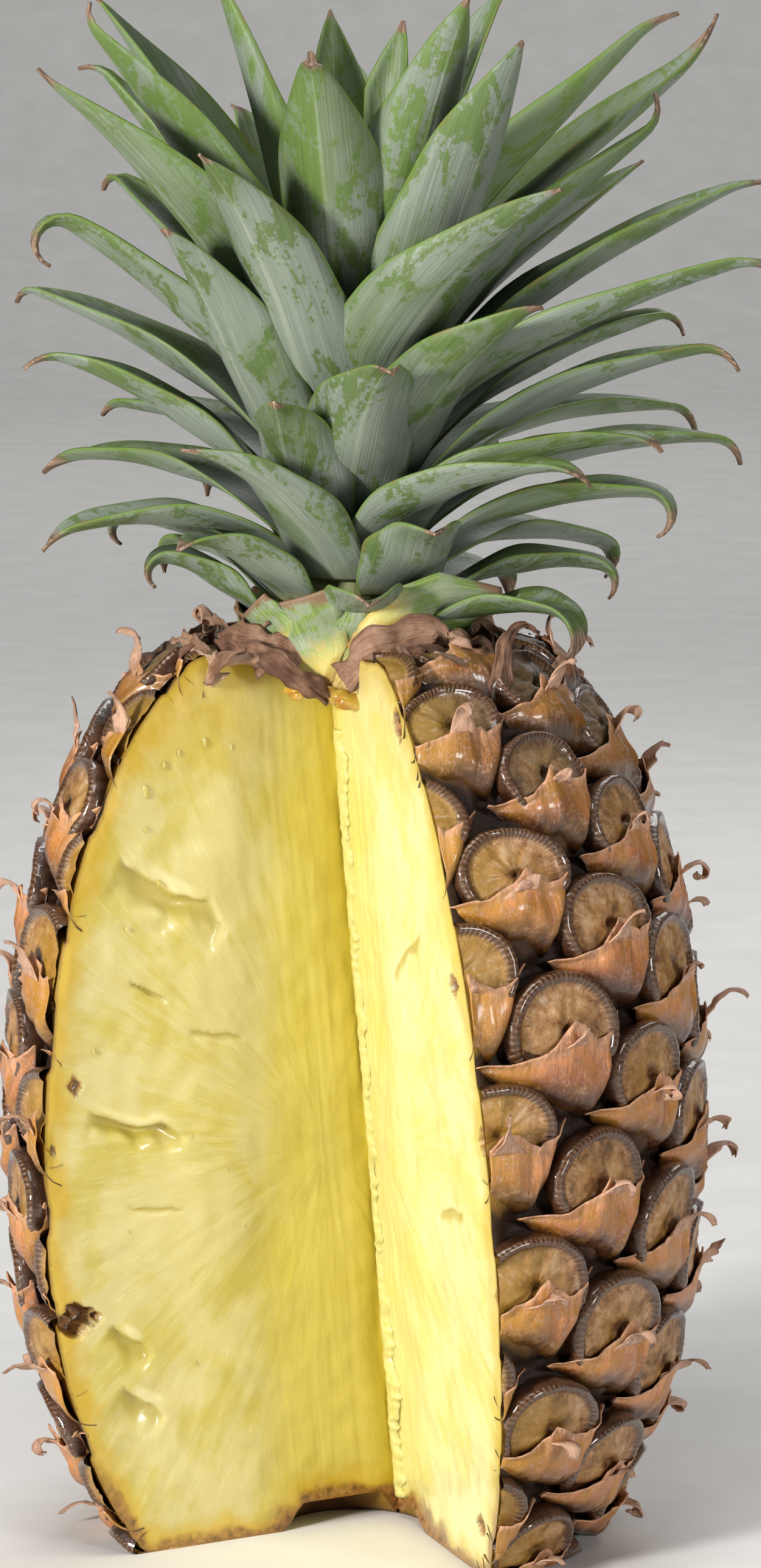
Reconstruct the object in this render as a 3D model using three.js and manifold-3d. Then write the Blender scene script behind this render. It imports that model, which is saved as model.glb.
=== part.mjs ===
// A pineapple standing on its base, with one long wedge cut out of the fruit from its base up to the crown.
// Millimetres, +Z up. The origin is under the middle of the whole, on the surface that the fruit stands on, and
// the cut wedge opens towards -Y. Everything is made about the fruit's own axis and moved into place at the end.
// The fruit is one solid; the crown is a stem with its leaves, each a piece of its own.
import * as THREE from "three";
import { mergeVertices } from "three/addons/utils/BufferGeometryUtils.js";
import Module from "manifold-3d";

const wasm = await Module();
wasm.setup();

// ---- Driving dimensions ----
const FRUIT_RADIUS = 62.2; // at the widest, over the grooves' mean
const FRUIT_TOP = 167; // where the shoulder ends and the crown begins
const WIDEST_HEIGHT = 78;
const LOWER_REACH = 94; // from the widest height to where the lower curve would close
const UPPER_REACH = 97; // the same for the shoulder
const BASE_RING_RADIUS = 33; // the flat ring that the fruit stands on
const SCAR_RADIUS = 13; // the stalk's scar, a shallow hollow in the base
const SCAR_DEPTH = 5;
const NECK_RADIUS = 21;
const AXIS_X = -7; // the fruit's own axis, which is beside the origin because the crown leans over to one side
const AXIS_Y = -2.5;
const OVERHANG_RADIUS = 17; // of the neck where it stands out over the cut
const STEM_COLUMNS = 24; // round the neck and the stem

const EYE_TURN = 137.46; // degrees round the axis between one eye and the next
const EYE_RISE = 1.325; // along the skin, from one eye to the next
const EYE_FIRST_AZIMUTH = 245.9; // of the lowest eye's middle
const EYE_FIRST_ALONG = 0.6; // the same along the skin, from the base ring
const EYE_BULGE = 1.6; // an eye's middle above the grooves around it
const EYE_SPREAD = 11.5; // from an eye's middle to the groove

const SEAM_TOP = new THREE.Vector3(-3.6, -2, 150); // two points of the line where the knife cuts meet
const SEAM_BOTTOM = new THREE.Vector3(7.5, 10, 10);
const LEFT_CUT_AZIMUTH = 211; // degrees, the way each cut face runs out from the seam
const RIGHT_CUT_AZIMUTH = 289;
const CUT_TOP = 163.5; // the cut ends under the crown, and only the neck stands out over it
const CUT_OVERRUN = 5; // how far the cut goes past the fruit at its top and base

const STEM_HEIGHT = 54;
const STEM_FOOT_RADIUS = 14;
const STEM_TIP_RADIUS = 3.5;
const LEAF_TURN = 137.5; // degrees round the axis between one leaf and the next
const LEAF_FIRST_AZIMUTH = -32.5; // of the lowest leaf, from +X
const LEAF_THICKNESS = 0.7;
const LEAF_STEM_GAP = 1.4; // between the stem and a leaf's middle line where it starts
const LEAF_LOWEST = 2.5; // the lowest leaf's foot above the fruit
const LEAF_RANGE = 48; // height over which the feet are spread
const LEAF_WIDTHS = [15, 21]; // of the lowest leaf and of the innermost, at its widest
const LEAF_BOWS = [30, 6]; // degrees lower than its chord that a blade points at its end, likewise
const LEAF_CHANNEL = 0.5; // how far a blade's edges stand up over its middle, as a share of half its width

const SKIN = new THREE.MeshStandardMaterial({ color: 0x7a4a2c, roughness: 0.5, metalness: 0 });
const STEM = new THREE.MeshStandardMaterial({ color: 0xd8c98a, roughness: 0.7, metalness: 0 });
const LEAF = new THREE.MeshStandardMaterial({ color: 0x6f8a5c, roughness: 0.6, metalness: 0 });

// One row a leaf, from the lowest to the innermost: how far its blade reaches from the crown's axis, the height
// of the blade's end over the base, how many degrees its end swings round the axis, how many degrees the dried
// tip curls down, and the dried tip's length. A leaf's width and bow follow from its place in the order.
const LEAVES = [
  [44, 176, 0, 130, 11],
  [35, 184, 0, 150, 8],
  [44, 178, 0, 80, 8],
  [29, 179, 0, 20, 4],
  [45, 183, 0, 90, 8],
  [45, 182, 0, 120, 8],
  [38, 189, 0, 40, 5],
  [49, 185, 0, 90, 8],
  [33, 191, -14, 20, 4],
  [43, 190, 0, 150, 7],
  [55, 183, 0, 120, 8],
  [41, 205, -28, 10, 4],
  [57, 195, 0, 80, 8],
  [57, 197, 0, 150, 11],
  [54, 191, 0, 40, 8],
  [57, 200, 0, 90, 8],
  [50, 203, 32, 70, 7],
  [57, 200, 0, 30, 12],
  [68, 204, 0, 75, 8],
  [35, 213, 14, 10, 4],
  [57, 209, 0, 80, 8],
  [54, 207, 20, 60, 6],
  [53, 220, 0, 60, 8],
  [72, 208, -12, 80, 8],
  [37, 220, 12, 60, 5],
  [55, 209, 14, 60, 5],
  [63, 222, 0, 75, 9],
  [46, 243, 12, 10, 4],
  [55, 229, 0, 60, 7],
  [46, 230, 11, 20, 5],
  [62, 231, 0, 90, 5],
  [62, 226, 0, 90, 8],
  [48, 256, -9, 10, 4],
  [56, 241, 0, 50, 7],
  [71, 238, 12, 60, 10],
  [53, 245, 0, 190, 14],
  [55, 247, 0, 60, 7],
  [54, 251, 30, 10, 3],
  [55, 251, 0, 110, 6],
  [68, 250, 0, 30, 10],
  [57, 268, -22, -10, 7],
  [50, 270, 0, 40, 6],
  [50, 276, -8, 10, 3],
  [45, 271, 0, 70, 6],
  [64, 252, 0, 0, 5],
  [40, 272, 0, 60, 6],
  [38, 262, 0, 40, 6],
  [53, 261, 12, -80, 8],
  [50, 279, -4, -60, 6],
  [38, 283, -24, 30, 6],
  [43, 283, 4, 10, 3],
  [49, 283, 4, 10, 3],
  [62, 271, 0, -30, 14],
  [14, 270, 0, 0, 6],
  [20, 280, 0, 10, 3],
  [53, 278, 18, 30, 9],
  [24, 286, 0, 10, 5],
  [13, 277, 0, 0, 4],
];

const radians = THREE.MathUtils.degToRad;
const mix = THREE.MathUtils.lerp;

// ---- Solids ----

// A closed mesh geometry as a manifold solid, for cutting.
function solidOf(geometry) {
  const bare = geometry.clone();
  bare.deleteAttribute("normal");
  bare.deleteAttribute("uv");
  const merged = mergeVertices(bare, 1e-3);
  return new wasm.Manifold(
    new wasm.Mesh({
      numProp: 3,
      vertProperties: merged.attributes.position.array,
      triVerts: new Uint32Array(merged.index.array),
    }),
  );
}

function geometryOf(solid) {
  const mesh = solid.getMesh();
  const geometry = new THREE.BufferGeometry();
  geometry.setAttribute("position", new THREE.BufferAttribute(mesh.vertProperties, 3));
  geometry.setIndex(new THREE.BufferAttribute(mesh.triVerts, 1));
  geometry.computeVertexNormals();
  return geometry;
}

// ---- Fruit ----

const BODY_POWER = 2.2; // the two together make the outline fuller than an ellipse
const BODY_ROOT = 2.5;
const BASE_FILLET_HEIGHT = 6;
const BASE_FILLET_ROWS = 3;
const SCAR_SLOPE = 3; // from the edge of the scar to its flat floor
const BODY_ROWS = 27;
const SHOULDER_DROP = 2; // from the fruit's top down to the last row that has eyes
const NECK_SLOPE = 4; // from that row's end in to the neck
const FRUIT_COLUMNS = 72;

// The fruit's radius at a height, without its eyes.
function bodyRadius(z) {
  const share = z < WIDEST_HEIGHT ? (WIDEST_HEIGHT - z) / LOWER_REACH : (z - WIDEST_HEIGHT) / UPPER_REACH;
  return FRUIT_RADIUS * (1 - share ** BODY_POWER) ** (1 / BODY_ROOT);
}

// The fruit's outline from the axis at the base to the axis at the top, as [radius, height] points.
function fruitOutline() {
  const points = [
    [0, SCAR_DEPTH],
    [SCAR_RADIUS - SCAR_SLOPE, SCAR_DEPTH],
    [SCAR_RADIUS, 0],
    [(SCAR_RADIUS + BASE_RING_RADIUS) / 2, 0],
    [BASE_RING_RADIUS, 0],
  ];
  const filletWidth = bodyRadius(BASE_FILLET_HEIGHT) - BASE_RING_RADIUS;
  for (let i = 1; i <= BASE_FILLET_ROWS; i++) {
    const angle = (i / BASE_FILLET_ROWS) * (Math.PI / 2);
    points.push([
      BASE_RING_RADIUS + filletWidth * Math.sin(angle),
      BASE_FILLET_HEIGHT * (1 - Math.cos(angle)),
    ]);
  }
  for (let i = 1; i <= BODY_ROWS; i++) {
    const z = mix(BASE_FILLET_HEIGHT, FRUIT_TOP - SHOULDER_DROP, i / BODY_ROWS);
    points.push([bodyRadius(z), z]);
  }
  points.push([NECK_RADIUS + NECK_SLOPE, FRUIT_TOP], [NECK_RADIUS, FRUIT_TOP], [0, FRUIT_TOP]);
  return points.map(([radius, height]) => new THREE.Vector2(radius, height));
}

// The eyes' middles: azimuth in radians, and distance along the skin from the base ring.
function eyes(skinLength) {
  const found = [];
  for (let i = 0; i * EYE_RISE < skinLength; i++)
    found.push({
      azimuth: radians(EYE_FIRST_AZIMUTH - i * EYE_TURN),
      along: EYE_FIRST_ALONG + i * EYE_RISE,
    });
  return found;
}

// How far the skin stands out at a place: a low dome over each eye.
function eyeBulge(places, azimuth, along, radius) {
  let nearest = Infinity;
  for (const eye of places) {
    const turn = azimuth - eye.azimuth;
    const side = radius * Math.atan2(Math.sin(turn), Math.cos(turn));
    nearest = Math.min(nearest, Math.hypot(side, along - eye.along));
  }
  return EYE_BULGE * (1 - (nearest / EYE_SPREAD) ** 2);
}

function wholeFruit() {
  const outline = fruitOutline();
  const geometry = new THREE.LatheGeometry(outline, FRUIT_COLUMNS);
  const ringIndex = outline.findIndex((point) => point.x === BASE_RING_RADIUS);
  const along = outline.map(() => 0);
  for (let i = ringIndex + 1; i < outline.length; i++)
    along[i] = along[i - 1] + outline[i].distanceTo(outline[i - 1]);
  const shoulder = outline.length - 4; // the last row that has eyes
  const places = eyes(along[shoulder]);
  const position = geometry.attributes.position;
  const columns = position.count / outline.length;
  for (let column = 0; column < columns; column++) {
    for (let row = ringIndex + 1; row <= shoulder; row++) {
      const i = column * outline.length + row;
      const [x, z] = [position.getX(i), position.getZ(i)];
      const radius = Math.hypot(x, z);
      const standing = radius + eyeBulge(places, Math.atan2(-z, x), along[row], radius);
      position.setX(i, (x * standing) / radius);
      position.setZ(i, (z * standing) / radius);
    }
  }
  return geometry.rotateX(Math.PI / 2);
}

// The wedge that is taken out: a triangle that follows the seam from below the base to the cut's top.
function wedgeCutter() {
  const reach = 2 * FRUIT_RADIUS;
  const depth = FRUIT_TOP + 2 * CUT_OVERRUN;
  const way = (azimuth) =>
    new THREE.Vector2(Math.cos(radians(azimuth)), Math.sin(radians(azimuth))).multiplyScalar(reach);
  const triangle = new THREE.Shape([
    new THREE.Vector2(0, 0),
    way(LEFT_CUT_AZIMUTH),
    way(RIGHT_CUT_AZIMUTH),
  ]);
  const geometry = new THREE.ExtrudeGeometry(triangle, { depth, bevelEnabled: false });
  const rise = SEAM_TOP.z - SEAM_BOTTOM.z;
  const leanX = (SEAM_TOP.x - SEAM_BOTTOM.x) / rise;
  const leanY = (SEAM_TOP.y - SEAM_BOTTOM.y) / rise;
  geometry.translate(0, 0, -CUT_OVERRUN);
  const lean = new THREE.Matrix4().set(
    1, 0, leanX, SEAM_BOTTOM.x - leanX * SEAM_BOTTOM.z,
    0, 1, leanY, SEAM_BOTTOM.y - leanY * SEAM_BOTTOM.z,
    0, 0, 1, 0,
    0, 0, 0, 1,
  );
  const neckLength = FRUIT_TOP + 2 * CUT_OVERRUN - CUT_TOP;
  const neck = new THREE.CylinderGeometry(OVERHANG_RADIUS, OVERHANG_RADIUS, neckLength, STEM_COLUMNS);
  neck.rotateX(Math.PI / 2).translate(0, 0, CUT_TOP + neckLength / 2);
  return solidOf(geometry.applyMatrix4(lean)).subtract(solidOf(neck));
}

function makeFruit() {
  const cut = solidOf(wholeFruit()).subtract(wedgeCutter());
  const mesh = new THREE.Mesh(geometryOf(cut), SKIN);
  mesh.name = "fruit";
  return mesh;
}

// ---- Crown ----

const STEM_CLEARANCE = 0.3; // between the fruit's top and the stem

function stemRadius(height) {
  return mix(STEM_FOOT_RADIUS, STEM_TIP_RADIUS, Math.min(1, height / STEM_HEIGHT));
}

function makeStem() {
  const outline = [
    new THREE.Vector2(0, STEM_CLEARANCE),
    new THREE.Vector2(STEM_FOOT_RADIUS, STEM_CLEARANCE),
    new THREE.Vector2(STEM_TIP_RADIUS, STEM_HEIGHT),
    new THREE.Vector2(0, STEM_HEIGHT + STEM_TIP_RADIUS),
  ];
  const mesh = new THREE.Mesh(new THREE.LatheGeometry(outline, STEM_COLUMNS).rotateX(Math.PI / 2), STEM);
  mesh.name = "crown_stem";
  return mesh;
}

const LEAF_STATIONS = 9; // along the blade
const CURL_STATIONS = 3; // along the dried tip
const LOW_HALF_ANGLE = 0.62; // radians round the axis that half the lowest leaf may take
const HIGH_HALF_ANGLE = 0.26; // and the innermost
const FOOT_PITCHES = [30, 80]; // degrees up from level, of the lowest leaf's foot and of the innermost's
const RANK_POWER = 0.9; // how the feet's heights and pitches go from the lowest leaf to the innermost
const FOOT_PULL = 0.3; // of the leaf's span that its foot keeps its own direction
const TIP_PULL = 0.36; // and its end
const NARROW_HALF_WIDTH = 0.6; // the least, beside the tip
const SWING_POWER = 1.2; // how late along the blade it swings round
const CHANNEL_CENTRE = 0.4; // puts the channel's floor under the middle line and its edges over it

// A leaf's middle line in its own upright plane, from its foot on the stem to the end of its curled tip:
// distance from the axis, height over the fruit's top, the way it points, and how far along it is.
function leafLine(rank, reach, tipHeight, curl, curlLength) {
  const order = rank ** RANK_POWER;
  const footHeight = LEAF_LOWEST + LEAF_RANGE * order;
  const foot = new THREE.Vector2(stemRadius(footHeight) + LEAF_STEM_GAP, footHeight);
  const tip = new THREE.Vector2(reach, tipHeight - FRUIT_TOP);
  const footPitch = radians(mix(...FOOT_PITCHES, order));
  const chordPitch = Math.atan2(tip.y - foot.y, tip.x - foot.x);
  const tipPitch = chordPitch - radians(mix(...LEAF_BOWS, rank));
  const span = foot.distanceTo(tip);
  const way = (pitch, length) => new THREE.Vector2(Math.cos(pitch), Math.sin(pitch)).multiplyScalar(length);
  const curve = new THREE.CubicBezierCurve(
    foot,
    foot.clone().add(way(footPitch, span * FOOT_PULL)),
    tip.clone().sub(way(tipPitch, span * TIP_PULL)),
    tip,
  );
  const line = [];
  for (let i = 0; i <= LEAF_STATIONS; i++) {
    const at = curve.getPoint(i / LEAF_STATIONS);
    const tangent = curve.getTangent(i / LEAF_STATIONS);
    line.push({ radius: at.x, height: at.y, pitch: Math.atan2(tangent.y, tangent.x) });
  }
  for (let i = 1; i <= CURL_STATIONS; i++) {
    const last = line[line.length - 1];
    const pitch = line[LEAF_STATIONS].pitch - radians(curl) * (i / CURL_STATIONS);
    const step = way((last.pitch + pitch) / 2, curlLength / CURL_STATIONS);
    line.push({ radius: last.radius + step.x, height: last.height + step.y, pitch });
  }
  let along = 0;
  line.forEach((station, i) => {
    if (i) along += Math.hypot(station.radius - line[i - 1].radius, station.height - line[i - 1].height);
    station.along = along;
  });
  line.forEach((station) => (station.share = station.along / along));
  return line;
}

// A leaf's width along its length, as a share of its widest.
function leafWidth(share) {
  const swell = 0.66 + 0.34 * Math.sin(Math.min(share / 0.4, 1) * (Math.PI / 2));
  return swell * (1 - share ** 2.1);
}

// A leaf as a closed blade, curved round the crown's axis and thin at its edges.
function leafGeometry(index, [reach, tipHeight, swing, curl, curlLength]) {
  const rank = index / (LEAVES.length - 1);
  const width = mix(...LEAF_WIDTHS, rank);
  const line = leafLine(rank, reach, tipHeight, curl, curlLength);
  const section = [
    [-1, 0],
    [-1 / 3, 1],
    [1 / 3, 1],
    [1, 0],
    [1 / 3, -1],
    [-1 / 3, -1],
  ];
  const widestAngle = mix(LOW_HALF_ANGLE, HIGH_HALF_ANGLE, rank);
  const positions = [];
  for (const { radius, height, pitch, share } of line.slice(0, -1)) {
    const halfWidth = Math.max(NARROW_HALF_WIDTH, (width / 2) * leafWidth(share));
    const halfAngle = Math.min(widestAngle, halfWidth / Math.max(radius, 1));
    const halfThickness = (LEAF_THICKNESS / 2) * mix(1, 0.5, share);
    const turn = radians(swing) * share ** SWING_POWER;
    const channel = LEAF_CHANNEL * halfWidth * THREE.MathUtils.smoothstep(share, 0.1, 0.5);
    for (const [across, side] of section) {
      const lift = side * halfThickness + channel * (across ** 2 - CHANNEL_CENTRE);
      const away = radius - Math.sin(pitch) * lift;
      const angle = turn + across * halfAngle;
      positions.push(
        away * Math.cos(angle),
        away * Math.sin(angle),
        height + Math.cos(pitch) * lift,
      );
    }
  }
  const end = line[line.length - 1];
  const endTurn = radians(swing);
  const tipVertex = positions.length / 3;
  positions.push(end.radius * Math.cos(endTurn), end.radius * Math.sin(endTurn), end.height);
  const n = section.length;
  const faces = [0, 1, 5, 1, 4, 5, 1, 2, 4, 2, 3, 4]; // the foot
  for (let station = 0; station < line.length - 2; station++) {
    for (let i = 0; i < n; i++) {
      const a = station * n + i;
      const b = station * n + ((i + 1) % n);
      // The two sides are split the same way, so that a twisted blade keeps its thickness.
      if (i < n / 2) faces.push(a, b + n, b, a, a + n, b + n);
      else faces.push(a, a + n, b, a + n, b + n, b);
    }
  }
  const lastRing = (line.length - 2) * n;
  for (let i = 0; i < n; i++) faces.push(lastRing + i, tipVertex, lastRing + ((i + 1) % n));
  const geometry = new THREE.BufferGeometry();
  geometry.setAttribute("position", new THREE.Float32BufferAttribute(positions, 3));
  geometry.setIndex(faces);
  geometry.computeVertexNormals();
  return geometry;
}

function makeCrown() {
  const crown = new THREE.Group();
  crown.position.z = FRUIT_TOP;
  crown.add(makeStem());
  LEAVES.forEach((leaf, index) => {
    const mesh = new THREE.Mesh(leafGeometry(index, leaf), LEAF);
    mesh.name = "leaf_" + String(index + 1).padStart(2, "0");
    mesh.rotation.z = radians(LEAF_FIRST_AZIMUTH - index * LEAF_TURN);
    crown.add(mesh);
  });
  return crown;
}

const pineapple = new THREE.Group();
pineapple.add(makeFruit(), makeCrown());
pineapple.position.set(AXIS_X, AXIS_Y, 0);

export default pineapple;
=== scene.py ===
import math
from contextlib import contextmanager

import bpy
import numpy as np
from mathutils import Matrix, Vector


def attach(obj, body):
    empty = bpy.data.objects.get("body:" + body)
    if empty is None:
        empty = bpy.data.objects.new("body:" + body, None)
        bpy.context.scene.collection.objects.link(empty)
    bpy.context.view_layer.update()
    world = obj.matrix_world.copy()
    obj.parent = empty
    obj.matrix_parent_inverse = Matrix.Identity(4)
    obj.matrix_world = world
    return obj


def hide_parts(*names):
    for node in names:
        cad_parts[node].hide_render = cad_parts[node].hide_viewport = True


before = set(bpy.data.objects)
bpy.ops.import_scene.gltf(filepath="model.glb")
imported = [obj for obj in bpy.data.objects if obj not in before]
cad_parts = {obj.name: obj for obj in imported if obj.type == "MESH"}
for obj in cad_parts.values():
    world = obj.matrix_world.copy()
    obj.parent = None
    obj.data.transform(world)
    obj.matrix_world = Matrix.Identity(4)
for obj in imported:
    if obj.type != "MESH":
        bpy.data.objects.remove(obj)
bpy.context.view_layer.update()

# A pineapple with a long wedge cut out of it. Lengths are millimetres about the fruit's own axis, as in the
# CAD, and place() turns them into metres in the frame. "Along" is the distance along the skin from the base
# ring up, and "stand" is how far something stands out from the skin.

MM = 0.001
AXIS = np.array([-7.0, -2.5, 0.0])  # the fruit's own axis, from the frame's origin
TAU = 2 * math.pi


# ---- Small maths ----


def place(points):
    """Points about the fruit's axis, in millimetres, as metres in the frame."""
    return (np.asarray(points, float) + AXIS) * MM


def unplace(points):
    """Points in the frame, in metres, as millimetres about the fruit's axis."""
    return np.asarray(points, float) / MM - AXIS


def mix(a, b, share):
    """a where the share is 0, b where it is 1."""
    return a + (b - a) * share


def ease(value, low, high):
    """0 below low, 1 above high, smooth between."""
    share = np.clip((np.asarray(value, float) - low) / (high - low), 0, 1)
    return share * share * (3 - 2 * share)


def hill(value, middle, width):
    """1 at the middle, falling to nothing on both sides."""
    return np.exp(-(((np.asarray(value, float) - middle) / width) ** 2))


def wrapped(angle):
    """The same angle, between minus half a turn and half a turn."""
    return (angle + math.pi) % TAU - math.pi


TABLE = 64  # steps after which rumple() repeats


def rumple(x, y, seed):
    """Smooth seeded noise from -1 to 1, which repeats every TABLE steps."""
    table = np.random.default_rng(seed).uniform(-1, 1, (TABLE, TABLE))
    x, y = np.asarray(x, float), np.asarray(y, float)
    column, row = np.floor(x).astype(int), np.floor(y).astype(int)
    a, b = ease(x - column, 0, 1), ease(y - row, 0, 1)
    low = mix(table[column % TABLE, row % TABLE], table[(column + 1) % TABLE, row % TABLE], a)
    high = mix(table[column % TABLE, (row + 1) % TABLE], table[(column + 1) % TABLE, (row + 1) % TABLE], a)
    return mix(low, high, b)


# ---- Modelling words ----


def only(*objects):
    """Selects these objects and nothing else, with the first one active."""
    bpy.ops.object.select_all(action="DESELECT")
    for made in objects:
        made.select_set(True)
    bpy.context.view_layer.objects.active = objects[0]


@contextmanager
def editing(made, kind="FACE"):
    """Edit mode on one object, with only the faces or points that were marked selected."""
    only(made)
    bpy.ops.object.mode_set(mode="EDIT")
    bpy.ops.mesh.select_mode(type=kind)
    yield
    bpy.ops.object.mode_set(mode="OBJECT")


def mark(made, faces=None, points=None):
    """Marks faces or points by a mask, for the next operator in edit mode."""
    mesh = made.data
    for elements, mask in ((mesh.vertices, points), (mesh.edges, None), (mesh.polygons, faces)):
        elements.foreach_set("select", np.zeros(len(elements), bool) if mask is None else mask)


def all_over(made, operator, **settings):
    """One edit-mode operator on the whole of a mesh."""
    with editing(made):
        bpy.ops.mesh.select_all(action="SELECT")
        operator(**settings)


def fetch(elements, what, each=1, kind=float):
    """One number, or a row of them, from every element of a mesh."""
    found = np.empty(len(elements) * each, kind)
    elements.foreach_get(what, found)
    return found if each == 1 else found.reshape(-1, each)


def points_of(made):
    return fetch(made.data.vertices, "co", 3)


def face_middles(made):
    return fetch(made.data.polygons, "center", 3)


def move_points(made, points):
    made.data.vertices.foreach_set("co", np.asarray(points, float).ravel())
    made.data.update()


def write(made, **facts):
    """Numbers on every point, each its own or one for all, for a material to read."""
    for name, values in facts.items():
        layer = made.data.attributes.get(name) or made.data.attributes.new(name, "FLOAT", "POINT")
        layer.data.foreach_set("value", np.full(len(layer.data), values, np.float32))


def read(made, name):
    return fetch(made.data.attributes[name].data, "value", kind=np.float32)


def new_sheet(name, columns, rows):
    """A flat grid to sculpt, with where each point is across it, -1 to 1, and along it, 0 to 1."""
    bpy.ops.mesh.primitive_grid_add(x_subdivisions=columns, y_subdivisions=rows, size=2)
    sheet = bpy.context.object
    sheet.name = name
    flat = points_of(sheet)
    return sheet, flat[:, 0], (flat[:, 1] + 1) / 2


def join(name, pieces):
    """All these objects as one, under a new name."""
    only(*pieces)
    bpy.ops.object.join()
    pieces[0].name = name
    pieces[0].data.name = name
    return pieces[0]


def thicken(made, thickness, offset, second_material=0):
    """Gives a sheet its thickness in millimetres: offset 0 on both sides of it, -1 behind it."""
    only(made)
    solid = made.modifiers.new("thickness", "SOLIDIFY")
    solid.thickness = thickness * MM
    solid.offset = offset
    solid.use_rim = True
    solid.material_offset = second_material
    bpy.ops.object.modifier_apply(modifier=solid.name)


def finish_piece(made, materials, slot, *nodes):
    """Smooth, with its materials, riding on the one body, standing for these CAD nodes."""
    mesh = made.data
    if len(mesh.materials) == 0:
        for material in materials:
            mesh.materials.append(material)
    else:
        for index, material in enumerate(materials):
            mesh.materials[index] = material
    only(made)
    bpy.ops.object.shade_smooth()
    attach(made, "root")
    if nodes:
        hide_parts(*nodes)
    return made


# ---- Material words ----


def tint(red, green, blue):
    """A colour as a paint chart gives it, 0 to 255, as the shader wants it."""
    linear = []
    for channel in (red, green, blue):
        share = channel / 255
        linear.append(share / 12.92 if share <= 0.04045 else ((share + 0.055) / 1.055) ** 2.4)
    return (*linear, 1.0)


WET_FLESH = {"Subsurface_Weight": 0.25, "Subsurface_Radius": (1.0, 0.8, 0.3), "Subsurface_Scale": 0.004}


class Wire:
    """A node's output. Arithmetic on it adds Math nodes."""

    def __init__(self, finish, socket):
        self.finish = finish
        self.socket = socket

    def maths(self, operation, first, second):
        return self.finish.node("ShaderNodeMath", {"operation": operation}, [first, second])

    def __add__(self, other):
        return self.maths("ADD", self, other)

    def __radd__(self, other):
        return self.maths("ADD", other, self)

    def __sub__(self, other):
        return self.maths("SUBTRACT", self, other)

    def __rsub__(self, other):
        return self.maths("SUBTRACT", other, self)

    def __mul__(self, other):
        return self.maths("MULTIPLY", self, other)

    def __rmul__(self, other):
        return self.maths("MULTIPLY", other, self)


class Finish:
    """A procedural material. node() adds any node, and the other methods are short words for common ones."""

    def __init__(self, name):
        self.material = bpy.data.materials.new(name)
        self.material.use_nodes = True
        self.tree = self.material.node_tree
        self.tree.nodes.clear()

    def node(self, kind, settings=None, inputs=(), output=0):
        made = self.tree.nodes.new(kind)
        for key, value in (settings or {}).items():
            if key == "stops":
                self.set_stops(made.color_ramp, value)
            else:
                setattr(made, key, value)
        pairs = inputs.items() if isinstance(inputs, dict) else enumerate(inputs)
        for key, value in pairs:
            if isinstance(value, Wire):
                self.tree.links.new(value.socket, made.inputs[key])
            elif value is not None:
                made.inputs[key].default_value = value
        return Wire(self, made.outputs[output])

    @staticmethod
    def set_stops(ramp, stops):
        while len(ramp.elements) < len(stops):
            ramp.elements.new(1.0)
        for element, (position, colour) in zip(ramp.elements, stops):
            element.position = position
            element.color = colour

    def number(self, name):
        """A number that was written on the piece's points."""
        return self.node("ShaderNodeAttribute", {"attribute_name": name}, output=2)

    def here(self):
        """Where the point is, in metres in the frame."""
        return self.node("ShaderNodeTexCoord", output=3)

    def together(self, x, y, z=0.0):
        return self.node("ShaderNodeCombineXYZ", inputs=[x, y, z])

    def noise(self, at, scale, detail=3.0, roughness=0.5, distortion=0.0):
        settings = {"noise_dimensions": "3D"}
        values = {"Vector": at, "Scale": scale, "Detail": detail}
        values |= {"Roughness": roughness, "Distortion": distortion}
        return self.node("ShaderNodeTexNoise", settings, values)

    def ease(self, value, low, high):
        """0 below low, 1 above high, smooth between."""
        settings = {"interpolation_type": "SMOOTHSTEP"}
        return self.node("ShaderNodeMapRange", settings, [value, low, high, 0.0, 1.0])

    def fade(self, value, low, high):
        """1 below low, 0 above high, smooth between."""
        return 1.0 - self.ease(value, low, high)

    def sine(self, value):
        return self.node("ShaderNodeMath", {"operation": "SINE"}, [value])

    def angle(self, y, x):
        return self.node("ShaderNodeMath", {"operation": "ARCTAN2"}, [y, x])

    def blend(self, factor, first, second):
        """One colour into another by a factor."""
        settings = {"data_type": "RGBA", "blend_type": "MIX"}
        return self.node("ShaderNodeMix", settings, {0: factor, 6: first, 7: second}, output=2)

    def paint(self, colour, *coats):
        """Coats over a first colour, each given as how much of it shows and its own colour."""
        for share, coat in coats:
            colour = self.blend(share, colour, coat)
        return colour

    def ramp(self, value, *stops):
        return self.node("ShaderNodeValToRGB", {"stops": stops}, [value])

    def bump(self, height, depth):
        """A relief of that depth in millimetres where the height is 1."""
        values = {"Strength": 1.0, "Distance": depth * MM, "Height": height}
        return self.node("ShaderNodeBump", inputs=values)

    def surface(self, colour, roughness, normal=None, **constants):
        """The finished surface, with what is the same all over set on its own sockets."""
        values = {"Base Color": colour, "Roughness": roughness, "Normal": normal}
        values |= {name.replace("_", " "): value for name, value in constants.items()}
        shader = self.node("ShaderNodeBsdfPrincipled", inputs=values)
        out = self.tree.nodes.new("ShaderNodeOutputMaterial")
        self.tree.links.new(shader.socket, out.inputs["Surface"])
        return self.material


# ---- The fruit's body ----

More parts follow.
